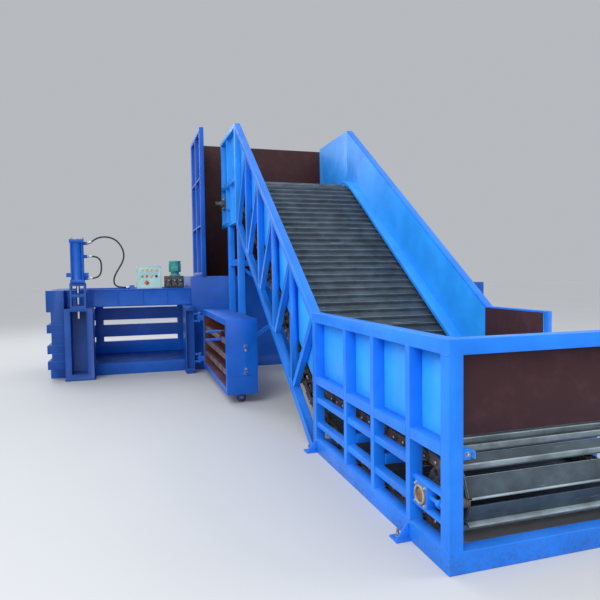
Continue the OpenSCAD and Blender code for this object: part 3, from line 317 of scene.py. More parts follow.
class Sock:
    """A shader socket with arithmetic, so that a finish reads as a formula."""

    def __init__(self, tree, out):
        self.tree = tree
        self.out = out

    def node(self, kind, inputs=(), out=0, **attrs):
        """Adds any other node: inputs are (name or index, value or socket) pairs."""
        made = self.tree.nodes.new(kind)
        for key, value in attrs.items():
            setattr(made, key, value)
        for key, value in inputs:
            if isinstance(value, Sock):
                self.tree.links.new(value.out, made.inputs[key])
            else:
                made.inputs[key].default_value = value
        return Sock(self.tree, made.outputs[out])

    def maths(self, op, *others):
        """Any operation of the Math node, with this socket first."""
        return self.node("ShaderNodeMath", [(i, v) for i, v in enumerate((self, *others))], operation=op)

    def __add__(self, o):
        return self.maths("ADD", o)

    __radd__ = __add__

    def __mul__(self, o):
        return self.maths("MULTIPLY", o)

    __rmul__ = __mul__

    def __sub__(self, o):
        return self.maths("SUBTRACT", o)

    def __rsub__(self, o):
        return (self * -1.0) + o

    def __pow__(self, o):
        return self.maths("POWER", o)

    def top(self, o):
        return self.maths("MAXIMUM", o)

    def ramp(self, low, high):
        """0 below low and 1 above high, with a smooth step between."""
        pins = [("Value", self), ("From Min", low), ("From Max", high)]
        return self.node("ShaderNodeMapRange", pins, interpolation_type="SMOOTHSTEP")

    def noise(self, scale, detail=3.0, rough=0.55, stretch=(1, 1, 1)):
        """Noise of a coordinate socket, stretched along its axes."""
        moved = self.node("ShaderNodeVectorMath", [(0, self), (1, stretch)], operation="MULTIPLY")
        pins = [("Vector", moved), ("Scale", scale), ("Detail", detail), ("Roughness", rough)]
        return self.node("ShaderNodeTexNoise", pins)

    def split(self):
        """The X, Y and Z of a vector socket."""
        made = self.tree.nodes.new("ShaderNodeSeparateXYZ")
        self.tree.links.new(self.out, made.inputs[0])
        return [Sock(self.tree, o) for o in made.outputs]

    def blend(self, a, b):
        """Colour a where this is 0 and colour b where it is 1."""
        made = self.tree.nodes.new("ShaderNodeMix")
        made.data_type = "RGBA"
        self.tree.links.new(self.out, made.inputs[0])
        for i, c in ((6, a), (7, b)):
            if isinstance(c, Sock):
                self.tree.links.new(c.out, made.inputs[i])
            else:
                made.inputs[i].default_value = (*c, 1.0)
        return Sock(self.tree, made.outputs[2])


class Finish:
    """A material: coordinate sockets to compute with, and a principled surface to plug into."""

    def __init__(self, name):
        self.mat = bpy.data.materials.new(name)
        self.mat.use_nodes = True
        tree = self.mat.node_tree
        self.tree = tree
        self.surface = next(n for n in tree.nodes if n.type == "BSDF_PRINCIPLED")
        coords = tree.nodes.new("ShaderNodeTexCoord")
        self.place = Sock(tree, coords.outputs["Object"])
        self.normal = Sock(tree, coords.outputs["Normal"])
        self.x, self.y, self.z = self.place.split()
        self.nx, self.ny, self.nz = self.normal.split()

    def edges(self, radius, low=0.02, high=0.3):
        """1 on edges and corners: how far a rounded normal turns from the true one."""
        soft = self.place.node("ShaderNodeBevel", [("Radius", radius)], samples=4)
        hard = self.place.node("ShaderNodeNewGeometry", out="Normal")
        pins = [(0, soft), (1, hard)]
        same = self.place.node("ShaderNodeVectorMath", pins, out="Value", operation="DOT_PRODUCT")
        return (1.0 - same).ramp(low, high)

    def set(self, height=None, distance=0.001, **values):
        """Plugs values or sockets into the surface; height is a bump of this distance in metres."""
        names = {
            "color": "Base Color", "rough": "Roughness", "metal": "Metallic", "coat": "Coat Weight",
            "coat_rough": "Coat Roughness", "shine": "Specular IOR Level",
        }
        for key, value in values.items():
            pin = self.surface.inputs[names[key]]
            if isinstance(value, Sock):
                self.tree.links.new(value.out, pin)
            elif isinstance(value, tuple) and len(value) == 3:
                pin.default_value = (*value, 1.0)
            else:
                pin.default_value = value
        if height is not None:
            bump = self.place.node("ShaderNodeBump", [("Height", height), ("Distance", distance)])
            self.tree.links.new(bump.out, self.surface.inputs["Normal"])
        return self.mat


# Finishes


def shade(color, k, lift=0.0):
    """A colour made darker or lighter by a factor, and lifted by the same amount in each channel."""
    return tuple(c * k + lift for c in color)


def enamel(name, color, primer, wear, inside=None, edge=0.004):
    """Brushed-on enamel: mottled colour, orange peel, chipped edges, settled dust, primer inside."""
    f = Finish(name)
    mottle = f.place.noise(2.3, 4)
    streak = f.place.noise(5.0, 5, 0.6, (1, 1, 0.16))
    fine = f.place.noise(60.0, 3)
    light = tuple(min(1.0, c * 1.06 + 0.006) for c in color)
    base = mottle.ramp(0.32, 0.70).blend(shade(color, 0.84), light)
    if inside is not None:
        rust = f.place.noise(7.0, 6, 0.65).ramp(0.45, 0.75)
        raw = rust.blend(primer, shade(primer, 1.45, 0.002))
        mask = inside(f)
        base = mask.blend(base, raw)
    dust = f.nz.ramp(0.6, 0.95) * f.place.noise(3.4, 5, 0.6).ramp(0.28, 0.62)
    base = (dust * 0.16).blend(base, shade(color, 0.92, 0.08))
    grime = (streak.ramp(0.56, 0.84) * 0.26).top(f.z.ramp(0.24, 0.0) * fine.ramp(0.44, 0.68) * 0.35)
    base = grime.blend(base, (0.075, 0.070, 0.066))
    chips = f.edges(edge) * f.place.noise(38.0, 5, 0.7).ramp(0.62 - 0.2 * wear, 0.70)
    base = (chips * 0.85).blend(base, (0.19, 0.17, 0.16))
    rough = 0.30 + 0.16 * streak + 0.30 * grime + 0.2 * chips + 0.25 * dust
    if inside is not None:
        rough = rough + mask * 0.32
    peel = f.place.noise(220.0, 2) * 0.35 + fine * 0.4 - chips * 1.5
    return f.set(
        color=base, rough=rough, height=peel, distance=0.0006, coat=(1.0 - grime) * 0.09, coat_rough=0.25,
        shine=0.26,
    )


def rolled_steel(name, color, bright):
    """Hot-rolled plate: blue-grey scale with scratches along X, polished bright on its edges."""
    f = Finish(name)
    scale = f.place.noise(5.0, 5, 0.62)
    scratch = f.place.noise(26.0, 4, 0.7, (0.10, 1, 1))
    rust = f.place.noise(9.0, 6, 0.7).ramp(0.60, 0.78)
    base = scale.ramp(0.30, 0.72).blend(shade(color, 0.62), shade(color, 1.25))
    base = (rust * 0.45).blend(base, (0.13, 0.065, 0.035))
    shine = f.edges(0.005, 0.01, 0.18).top(scratch.ramp(0.60, 0.78) * 0.55)
    base = shine.blend(base, bright)
    return f.set(
        color=base, metal=0.45 + 0.5 * shine, rough=0.56 - 0.26 * shine + 0.12 * rust,
        height=scratch * 0.5 + scale * 0.5, distance=0.0007,
    )


def scuffed(name, color, bright=(0.23, 0.17, 0.17)):
    """Primed bars rubbed by waste: pale steel with long scratches where they face the bale."""
    f = Finish(name)
    scratch = f.place.noise(30.0, 5, 0.7, (1, 0.06, 1))
    blotch = f.place.noise(6.0, 5, 0.6)
    rubbed = f.nx.ramp(-0.5, -0.8) * blotch.ramp(0.25, 0.60) * (0.55 + 0.45 * scratch.ramp(0.35, 0.65))
    base = blotch.ramp(0.35, 0.7).blend(color, shade(color, 1.8, 0.004))
    base = rubbed.blend(base, bright)
    return f.set(
        color=base, metal=0.55 * rubbed, rough=0.62 - 0.20 * rubbed, height=scratch, distance=0.0008
    )


def oiled(name, color, wear=0.7):
    """Dark oily steel: black grease in the hollows, bare metal on the edges."""
    f = Finish(name)
    grease = f.place.noise(14.0, 5, 0.6)
    base = grease.ramp(0.35, 0.65).blend(color, shade(color, 0.35))
    shine = f.edges(0.003, 0.02, 0.25) * wear
    base = (shine * 0.8).blend(base, (0.50, 0.49, 0.47))
    return f.set(
        color=base, metal=0.35 + 0.6 * shine, rough=0.26 + 0.35 * grease, height=grease, distance=0.0008
    )


def cast(name, color):
    """Painted casting: a coarse sand texture under thick paint."""
    f = Finish(name)
    sand = f.place.noise(160.0, 3)
    lump = f.place.noise(20.0, 4)
    base = lump.ramp(0.3, 0.7).blend(shade(color, 0.6), shade(color, 1.3))
    return f.set(color=base, rough=0.42 + 0.25 * lump, metal=0.25, height=sand + lump, distance=0.0012)


def coated(name, color):
    """Even powder coat with a light dust and a soft texture."""
    f = Finish(name)
    dust = f.place.noise(4.0, 5)
    grain = f.place.noise(320.0, 2)
    base = (dust.ramp(0.40, 0.75) * 0.25).blend(color, shade(color, 0.72, 0.02))
    chips = f.edges(0.003) * f.place.noise(44.0, 4).ramp(0.55, 0.64)
    base = (chips * 0.7).blend(base, (0.22, 0.21, 0.20))
    return f.set(color=base, rough=0.38 + 0.18 * dust, height=grain, distance=0.0004)


def chrome(name):
    """Ground and plated rod: fine rings of grinding and a thin film of oil."""
    f = Finish(name)
    ring = f.place.noise(120.0, 3, 0.6, (1, 1, 6))
    film = f.place.noise(6.0, 4)
    return f.set(
        color=film.blend((0.72, 0.73, 0.75), (0.60, 0.60, 0.60)), metal=1.0, rough=0.09 + 0.12 * film,
        height=ring, distance=0.0001,
    )


def glossy(name, color):
    """Moulded gloss plastic or a lamp lens."""
    f = Finish(name)
    haze = f.place.noise(90.0, 3)
    return f.set(
        color=haze.blend(color, shade(color, 0.82)), rough=0.16 + 0.14 * haze, coat=0.4, coat_rough=0.1
    )


def matt(name, color):
    """Matt plastic with a fine leather grain."""
    f = Finish(name)
    grain = f.place.noise(400.0, 2)
    dust = f.place.noise(12.0, 4)
    return f.set(
        color=(dust * 0.3).blend(color, (0.10, 0.10, 0.10)), rough=0.55 + 0.15 * dust, height=grain,
        distance=0.0003,
    )


def rubber(name, color):
    """Wrapped hose cover: fine cloth marks and a dull sheen."""
    f = Finish(name)
    weave = f.place.noise(520.0, 2, 0.5, (1, 0.4, 1))
    dust = f.place.noise(16.0, 5)
    return f.set(
        color=dust.ramp(0.35, 0.75).blend(color, (0.05, 0.048, 0.045)), rough=0.42 + 0.25 * dust,
        height=weave, distance=0.0005,
    )


def within(low, high):
    """A mask that is 1 inside the box from low to high, both in the row frame."""
    soft = 0.001

    def mask(f):
        parts = [
            p.ramp(a - soft, a + soft) * (1.0 - p.ramp(b - soft, b + soft))
            for p, a, b in zip((f.x, f.y, f.z), low, high)
        ]
        return parts[0] * parts[1] * parts[2]

    return mask


def near_tail(f):
    """A mask that is 1 within 57 mm of the tail shaft's axis."""
    _, y, z = at(0, *TAIL)
    far = ((f.y - float(y)) ** 2.0 + (f.z - float(z)) ** 2.0) ** 0.5
    return 1.0 - far.ramp(0.0565, 0.0575)


def facing(axis, sign):
    """A mask that is 1 on faces that look along an axis: forwards for sign 1, backwards for -1."""
    return lambda f: ((f.nx, f.ny, f.nz)[axis] * sign).ramp(0.45, 0.55)


def painted(name, color, k=1.0, wear=None, primer=None, **more):
    """A look: enamel in a shade of a fixed colour, or of the paint with this name in the settings."""

    def look(paint):
        base = getattr(paint, color) if isinstance(color, str) else color
        chipped = paint.wear if wear is None else wear
        return enamel(name, shade(base, k), primer or tuple(paint.primer), chipped, **more)

    return look


# The looks of the slots, and of the nodes that have one of their own. Each is made from the paints
# of the settings. RIM is the blue rim round the door's primed inside.
# The sheet blue is a lighter copy of the conveyor blue: painted light on the incline, head and feed side
# sheets. GREASE is the grease on the chains.
LIT_SHEET, GREASE = (0.022, 0.340, 1.000), (0.150, 0.112, 0.080)
RIM = np.array([0.006, 0.073, 0.073])
SLOTS = {
    "bright_blue": painted("Conveyor enamel", "conveyor"),
    "deep_blue": painted("Press enamel", "press"),
    "primer_brown": painted("Iron-oxide primer", "primer", inside=lambda f: f.z * 0.0 + 1.0),
    "pan_steel": lambda _: rolled_steel("Pan steel", (0.070, 0.100, 0.125), (0.55, 0.62, 0.66)),
    "dark_steel": lambda _: oiled("Oiled steel", (0.090, 0.086, 0.082)),
    "cast_housing": lambda _: cast("Cast housing", (0.060, 0.064, 0.070)),
    "teal_paint": lambda _: coated("Motor teal", (0.035, 0.300, 0.290)),
    "pale_teal": lambda _: coated("Control box", (0.420, 0.640, 0.620)),
    "chrome_rod": lambda _: chrome("Plated rod"),
    "lamp_yellow": lambda _: glossy("Yellow lens", (0.85, 0.50, 0.03)),
    "button_green": lambda _: glossy("Green cap", (0.03, 0.42, 0.10)),
    "button_red": lambda _: glossy("Red cap", (0.62, 0.02, 0.02)),
    "black_plastic": lambda _: matt("Black plastic", (0.018, 0.018, 0.019)),
    "hose_rubber": lambda _: rubber("Hose cover", (0.016, 0.016, 0.017)),
}
LOOKS = {
    "tail_bearings": painted(
        "Bearing plate", "conveyor", wear=0.6, inside=near_tail, primer=(0.150, 0.145, 0.130)),
    # The door: the press enamel lightened by 1.15, which is painted light on the door.
    "side_door": painted(
        "Door enamel", "press", 1.15, primer=(0.100, 0.026, 0.014),
        inside=within(at(*DOOR_LOW) + RIM * (2, 1, 1), at(*DOOR_HIGH) - RIM)),
    # End wall, lock column and hinge post: the press enamel darkened to 0.62, 0.66 and 0.80, which is
    # painted shade.
    "end_wall": painted("End wall enamel", "press", 0.62, 1.0, edge=0.008),
    "lock_column": painted("Column enamel", "press", 0.66, 1.0, edge=0.006),
    "hinge_post": painted("Post enamel", "press", 0.80, 1.0, edge=0.006),
    # Rear wall: the press enamel lightened by 1.70, which is painted light lifting the wall out of its
    # shade.
    "rear_wall": painted("Rear wall enamel", "press", 1.70, 1.0),
    "press_base": painted("Base enamel", "press", 1.0, 1.0, edge=0.008),
    # Left truss: the conveyor enamel darkened to 0.92, which is painted shade.
    "truss_left": painted("Truss enamel", "conveyor", 0.92),
    # Incline sheets and head panels take the lighter sheet blue, which is painted light; the head panels
    # take 0.92 of it.
    "skirt_left": painted("Left incline sheet", LIT_SHEET),
    "skirt_right": painted("Right incline sheet", LIT_SHEET),
    "head_side_left": painted("Left head panel", LIT_SHEET, 0.92),
    "head_side_right": painted("Right head panel", LIT_SHEET, 0.92),
    "chain_left": lambda _: oiled("Greasy left chain", GREASE, 1.0),
    "chain_right": lambda _: oiled("Greasy right chain", GREASE, 1.0),
    "wear_bars": lambda paint: scuffed("Scuffed bars", tuple(paint.primer)),
}
for inner, axis, sign in (
    ("hopper_left", 0, 1), ("hopper_right", 0, -1), ("hopper_back", 1, -1),
    ("feed_side_left", 0, 1), ("feed_side_right", 0, -1),
    ("mouth_side_near", 1, 1), ("mouth_side_far", 1, -1), ("mouth_beams", 0, 1),
):
    # Feed sides in the bright slot take the lighter sheet blue, which is painted light.
    blue = LIT_SHEET if SLOT[inner] == "bright_blue" else "press"
    LOOKS[inner] = painted(inner + " enamel", blue, inside=facing(axis, sign))
MADE = {}


def material_of(slot):
    """The Blender material of a record slot, made once."""
    if slot not in MADE:
        MADE[slot] = SLOTS[slot](bpy.context.scene.baler_paint)
    return MADE[slot]


# Settings


class BALER_Paint(bpy.types.PropertyGroup):
    conveyor: FloatVectorProperty(
        name="Conveyor colour", description="Enamel of the conveyor", subtype="COLOR",
        default=(0.008, 0.205, 0.860), min=0, max=1,
    )
    press: FloatVectorProperty(
        name="Press colour", description="Enamel of the press and the hopper", subtype="COLOR",
        default=(0.002, 0.094, 0.480), min=0, max=1,
    )
    primer: FloatVectorProperty(
        name="Primer colour", description="Iron-oxide primer inside", subtype="COLOR",
        default=(0.042, 0.013, 0.017), min=0, max=1,
    )
    wear: FloatProperty(
        name="Wear", description="How chipped the painted edges are", default=0.5, min=0, max=1,
        subtype="FACTOR",
    )
    round_edges: FloatProperty(
        name="Edge radius", description="Rounding of tube and plate edges", default=0.004, min=0,
        max=0.01, unit="LENGTH",
    )


class BALER_Hoses(bpy.types.PropertyGroup):
    radius: FloatProperty(
        name="Hose radius", description="Outer radius of the lock hoses", default=0.012, min=0.008,
        max=0.02, unit="LENGTH",
    )


class BALER_Fasteners(bpy.types.PropertyGroup):
    bolt: FloatProperty(
        name="Bolt size", description="Half the width over corners of a bolt head", default=0.013,
        min=0.006, max=0.03, unit="LENGTH",
    )
    weld: FloatProperty(
        name="Weld size", description="Radius of a fillet weld", default=0.004, min=0.002, max=0.008,
        unit="LENGTH",
    )


class BALER_Stage(bpy.types.PropertyGroup):
    lens: FloatProperty(
        name="Lens", description="Focal length of the camera on a 36 mm frame", default=33.118, min=15,
        max=120, unit="CAMERA",
    )
    key: FloatProperty(
        name="Key light", description="Power of the large lamp over the machine", default=560, min=0,
        max=9000, unit="POWER",
    )
    fill: FloatProperty(
        name="Sky", description="Strength of the even light all round", default=0.86, min=0, max=4,
    )
    floor: IntProperty(
        name="Floor reach", description="Half the side of the floor in metres", default=60, min=10,
        max=200,
    )


# Pieces


def along(s, d):
    """(y, z) at length s and distance d above the chain: level, arc up, slope, arc over, level."""
    r1, r2 = BEND - d, CREST + d
    s2 = LEVEL + r1 * RISE
    s3 = s2 + SLOPE
    s4 = s3 + r2 * RISE
    if s < LEVEL:
        return TAIL[0] + s, LOW + d
    if s < s2:
        a = (s - LEVEL) / r1
        return BEND_Y + r1 * math.sin(a), LOW + BEND - r1 * math.cos(a)
    if s < s3:
        far = s - s2
        return (
            BEND_Y + r1 * math.sin(RISE) + far * math.cos(RISE),
            LOW + BEND - r1 * math.cos(RISE) + far * math.sin(RISE),
        )
    if s < s4:
        a = RISE - (s - s3) / r2
        return CREST_Y - r2 * math.sin(a), HIGH - CREST + r2 * math.cos(a)
    return CREST_Y + s - s4, HIGH + d


def chain_pins():
    """The (y, z) of all pins: half round the tail, up the carrying run, half round the head, back down."""
    turn = 2 * math.pi / TEETH

    def half(wheel, start):
        angles = [start - i * turn for i in range(TEETH // 2)]
        return [(wheel[0] + RC * math.cos(a), wheel[1] + RC * math.sin(a)) for a in angles]

    up = [along(i * PITCH, 0) for i in range(RUN)]
    down = [along(RUN * PITCH - i * PITCH, -2 * RC) for i in range(RUN)]
    return np.array(half(TAIL, -math.pi / 2) + up + half(HEAD, math.pi / 2) + down)


def both_sides(x):
    """A place on the left side of the conveyor and its mirror, each with its outward direction."""
    return ((x, LEFT), (WIDE - x, RIGHT))


def around(count, radius, start=0.0):
    """(a, radius cos a, radius sin a) at even angles a of a circle."""
    angles = [start + k * 2 * math.pi / count for k in range(count)]
    return [(a, radius * math.cos(a), radius * math.sin(a)) for a in angles]


class BALER_OT_hoses(bpy.types.Operator):
    """Make the two lock hoses with their crimped fittings"""

    bl_idname = "baler.hoses"
    bl_label = "Hoses"

    def execute(self, context):
        r = context.scene.baler_hoses.radius
        ferrule = [(0.60, 0.0), (1.15, 0.001), (1.25, 0.004)]
        ferrule += [(1.25 + 0.07 * (k % 2), 0.004 + 0.0045 * k) for k in range(10)]
        ferrule += [(1.12, 0.0500), (1.02, 0.0505)]
        nut = [(1.5, 0.0), (1.62, 0.002), (1.62, 0.014), (1.5, 0.016)]
        for node, route in (("cap_hose", CAP_ROUTE), ("loop_hose", LOOP_ROUTE)):
            line = smooth_line([at(*p) for p in route], 0.008)
            cover, fittings = Surface(), Surface()
            sweep(cover, line, r, 20)
            piece = cover.build(node + "_cover", BODY[node], "hose_rubber")
            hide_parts(node)
            for end, towards in ((line[0], line[4] - line[0]), (line[-1], line[-5] - line[-1])):
                for profile, sides in ((ferrule, 24), (nut, 6)):
                    lathe(fittings, end, towards, [(a * r, h) for a, h in profile], sides)
            ends = fittings.build(node + "_fittings", BODY[node], "chrome_rod")
        return {"FINISHED"}


class BALER_OT_apron(bpy.types.Operator):
    """Make the rounded cleat caps of the pans and the riveted heads of the chain pins"""

    bl_idname = "baler.apron"
    bl_label = "Apron"

    def execute(self, context):
        pins = chain_pins()
        lit_caps, dull, heads = Surface(), Surface(), Surface()
        middle, half, foot, top = 0.0115, 0.0052, 0.0385, 0.0655
        inner_link, outer_link, pin_end = 0.0333, 0.0416, 0.0503
        a = np.linspace(0, np.pi, 7)
        crown = np.column_stack([middle - half * np.cos(a), top + half * np.sin(a)])
        outline = np.vstack([[middle - half, foot], crown, [middle + half, foot]])
        for i, p in enumerate(pins):
            t = pins[(i + 1) % len(pins)] - p
            t /= np.linalg.norm(t)
            n = np.array([-t[1], t[0]])
            x0 = CHAIN_X + (inner_link if i % 2 == 0 else outer_link)
            line = p + outline[:, :1] * t + outline[:, 1:] * n + DATUM[1:]
            # Caps on the level run at the tail get bright steel, which is a painted highlight. All other
            # caps get dark steel, which is painted shade.
            caps = lit_caps if p[0] < BEND_Y else dull
            bar_along_x(caps, at(x0, 0, 0)[0], at(WIDE - x0, 0, 0)[0], line)
            for x, out in both_sides(CHAIN_X - pin_end):
                dome(heads, at(x, *p), out, 0.0105, 0.0045, 12, 4)
        lit_caps.build("cleat_caps", "baler", "pan_steel", 50, rolled_steel(
            "Worn cleat caps", (0.34, 0.42, 0.46), (0.76, 0.84, 0.88)))
        dull.build("incline_caps", "baler", "pan_steel", 50, rolled_steel(
            "Dull cleat caps", (0.15, 0.19, 0.22), (0.40, 0.48, 0.52)))
        heads.build("pin_heads", "baler", "dark_steel", 35, rolled_steel(
            "Pin heads", (0.26, 0.25, 0.24), (0.62, 0.62, 0.60)))
        return {"FINISHED"}


class BALER_OT_bearings(bpy.types.Operator):
    """Make the bolts, end caps and grease nipples of the shaft bearings"""

    bl_idname = "baler.bearings"
    bl_label = "Bearings"

    def execute(self, context):
        r = context.scene.baler_fasteners.bolt
        bolts, caps, ends = Surface(), Surface(), Surface()
        head_hole, tail_hole = 0.065, 0.048
        for x, out in both_sides(-0.024):
            for dy, dz in product((-head_hole, head_hole), repeat=2):
                hexbolt(bolts, at(x, HEAD[0] + dy, HEAD[1] + dz), out, r, phase=0.3 + dy)
            lathe(bolts, at(x + out[0] * 0.018, HEAD[0], HEAD[1] + 0.061), UP, HEAD_NIPPLE, 12)
        for x, out in both_sides(0.012):
            for dy, dz in product((-tail_hole, tail_hole), repeat=2):
                hexbolt(bolts, at(x, TAIL[0] + dy, TAIL[1] + dz), out, 0.62 * r, phase=dz * 9)
        for x, out in both_sides(0.004):
            collar(caps, at(x, *TAIL), out, 0.041, 0.054, 0.006, 40)
            lathe(bolts, at(x - out[0] * 0.020, TAIL[0], TAIL[1] + 0.0555), UP, NIPPLE, 12)
        for x, out in both_sides(0.0142):
            lathe(ends, at(x, *TAIL), out, [
                (0.039, 0), (0.039, 0.004), (0.034, 0.008), (0.010, 0.009), (0.009, 0.005),
                (0.002, 0.004)], 40)
        bolts.build("bearing_bolts", "baler", "dark_steel", 30, rolled_steel(
            "Zinc bolts", (0.30, 0.30, 0.28), (0.66, 0.66, 0.64)))
        caps.build("bearing_rings", "baler", "cast_housing", 40, cast("Pale rings", (0.34, 0.33, 0.30)))
        ends.build("shaft_ends", BODY["tail_wheels"], "dark_steel", 40, scuffed(
            "Rusty shaft end", (0.16, 0.060, 0.026), (0.30, 0.16, 0.09)))
        return {"FINISHED"}


class BALER_OT_anchors(bpy.types.Operator):
    """Make the floor anchors, and the lug with its bolt beside the front post"""

    bl_idname = "baler.anchors"
    bl_label = "Anchors"

    def execute(self, context):
        bolts, lug = Surface(), Surface()
        for x, y in product((-0.050, 1.850), (0.452, 2.081)):
            hexbolt(bolts, at(x, y, 0.010), UP, 0.0140, phase=x + y)
            lathe(bolts, at(x, y, 0.0245), UP, [(0.008, 0), (0.008, 0.028), (0.006, 0.030)], 16)
        box_piece(lug, at(0.0802, 0.006, 0.572), at(0.128, 0.016, 0.628), 0.003)
        hexbolt(bolts, at(0.106, 0.006, 0.600), FRONT, 0.0100, phase=0.4)
        for (x, y), dx in product(LEGS, (-0.0495, 0.0495)):
            dome(bolts, at(x + LEG / 2 + dx * 0.98, y + LEG / 2 - 0.048, 0.015), UP, 0.006, 0.006, 10, 4)
        bolts.build("anchor_bolts", "baler", "dark_steel", 30, rolled_steel(
            "Anchor steel", (0.27, 0.26, 0.24), (0.60, 0.60, 0.58)))
        lug.build("front_lug", "baler", "bright_blue", 30)
        return {"FINISHED"}


class BALER_OT_door(bpy.types.Operator):
    """Make the door's bolts and bend line, the caps of its hinge pins and the nuts of its roller"""

    bl_idname = "baler.door"
    bl_label = "Door"

    def execute(self, context):
        r = context.scene.baler_fasteners.bolt
        bolts, seam, caps, nuts = Surface(), Surface(), Surface(), Surface()
        column, seam_z = DOOR_LOW[0] + 0.62 * (DOOR_HIGH[0] - DOOR_LOW[0]), 0.326
        for z in (0.405, 0.625):
            hexbolt(bolts, at(column, DOOR_LOW[1], z), FRONT, r, phase=z)
        for z in (0.360, 0.670):
            collar(bolts, at(column, DOOR_LOW[1], z), FRONT, 0.0165, 0.024, 0.003, 28)
        ends = [at(x, DOOR_LOW[1], seam_z) for x in (DOOR_LOW[0] + 0.002, DOOR_HIGH[0] - 0.002)]
        bead(seam, *ends, FRONT, 0.0025)
        for z in (0.200, 0.820):
            dome(caps, at(*HINGE, z + 0.120), UP, 0.018, 0.005, 24, 5)
            collar(caps, at(*HINGE, z + 0.1105), UP, 0.0185, 0.027, 0.004, 28)
            lathe(caps, at(HINGE[0] - 0.031, HINGE[1], z + 0.040), LEFT, NIPPLE, 12)
        roller_x, roller_z = -0.2475, 0.062
        for y, out in ((4.0478, -1), (4.1382, 1)):
            lathe(nuts, at(roller_x, y - out * 0.004, roller_z), (0, out, 0), [
                (0.0125, 0), (0.0200, 0.001), (0.0200, 0.013), (0.0180, 0.015), (0.0100, 0.016)], 6)
        steel = rolled_steel("Door bolts", (0.24, 0.24, 0.23), (0.60, 0.60, 0.58))
        bolts.build("door_bolts", "door", "dark_steel", 30, steel)
        seam.build("door_seam", "door", "deep_blue", 60)
        caps.build("hinge_caps", "baler", "dark_steel", 35, steel)
        nuts.build("axle_nuts", "wheel", "dark_steel", 30, steel)
        return {"FINISHED"}


class BALER_OT_lock(bpy.types.Operator):
    """Make the tie-rod nuts of the lock cylinder, its plugs and the wiper of the lock bar"""

    bl_idname = "baler.lock"
    bl_label = "Lock"

    def execute(self, context):
        nuts, rod = Surface(), 0.076
        ridges = [(0.0105 + 0.0007 * (k % 2), 0.0182 + 0.002 * k) for k in range(7)]
        for dx, dy in product((-rod, rod), repeat=2):
            place = at(LOCK[0] + dx, LOCK[1] + dy, LOCK_TOP)
            lathe(nuts, place, UP, [(0.0215, 0), (0.0215, 0.003)], 24)
            lathe(nuts, place + (0, 0, 0.003), UP, [
                (0.0190, 0), (0.0190, 0.0125), (0.0165, 0.0150), (0.0112, 0.0152)], 6, 0.2)
            lathe(nuts, place, UP, ridges + [(0.0085, 0.0330)], 16)
        lathe(nuts, at(*LOCK, LOCK_TOP), UP, [
            (0.024, 0), (0.024, 0.004), (0.018, 0.005), (0.018, 0.012), (0.015, 0.014)], 6)
        collar(nuts, at(*LOCK, 1.4118), DOWN, 0.0262, 0.0400, 0.006, 40)
        for z in PORTS:
            collar(nuts, at(PORT_X, LOCK[1], z), LEFT, 0.0242, 0.0285, 0.016, 6)
        nuts.build("lock_nuts", "baler", "chrome_rod", 30, rolled_steel(
            "Bright nuts", (0.40, 0.40, 0.38), (0.72, 0.72, 0.70)))
        return {"FINISHED"}


class BALER_OT_controls(bpy.types.Operator):
    """Make the bezels, screws, seam and hinges of the control box"""

    bl_idname = "baler.controls"
    bl_label = "Controls"

    def execute(self, context):
        def on_box(dx, dz, dy=0.0):
            return at(BOX[0] + dx, BOX[1] + dy, BOX[2] + dz)

        rings, plate, trim = Surface(), Surface(), Surface()
        buttons, knob, stop, lamps_z, buttons_z = (0.080, 0.145, 0.210), 0.290, 0.145, 0.285, 0.190
        for dx in (*buttons, knob):
            collar(rings, on_box(dx, lamps_z), FRONT, 0.0154, 0.0205, 0.007, 28)
        for dx in buttons:
            collar(rings, on_box(dx, buttons_z), FRONT, 0.0172, 0.0215, 0.009, 32)
        collar(rings, on_box(knob, buttons_z), FRONT, 0.0192, 0.0235, 0.008, 32)
        collar(plate, on_box(stop, 0.090), FRONT, 0.0120, 0.0330, 0.0015, 36)
        for low, high in (
            ((0.008, 0.008), (0.362, 0.013)), ((0.008, 0.337), (0.362, 0.342)),
            ((0.008, 0.013), (0.013, 0.337)), ((0.357, 0.013), (0.362, 0.337)),
        ):
            box_piece(trim, on_box(*low, -0.0015), on_box(*high, 0.001), 0.0005)
        for dx, dz in product((0.026, 0.344), (0.026, 0.324)):
            dome(trim, on_box(dx, dz), FRONT, 0.0065, 0.0028, 16, 4)
        for dz in (0.070, 0.280):
            lathe(trim, on_box(-0.0045, dz - 0.028, 0.004), UP, [
                (0.0035, 0), (0.0045, 0.001), (0.0045, 0.055), (0.0035, 0.056)], 16)
        rings.build("button_bezels", "baler", "chrome_rod", 35)
        plate.build("stop_plate", "baler", "lamp_yellow", 35)
        trim.build("box_trim", "baler", "pale_teal", 30, coated("Box trim", (0.30, 0.46, 0.45)))
        return {"FINISHED"}


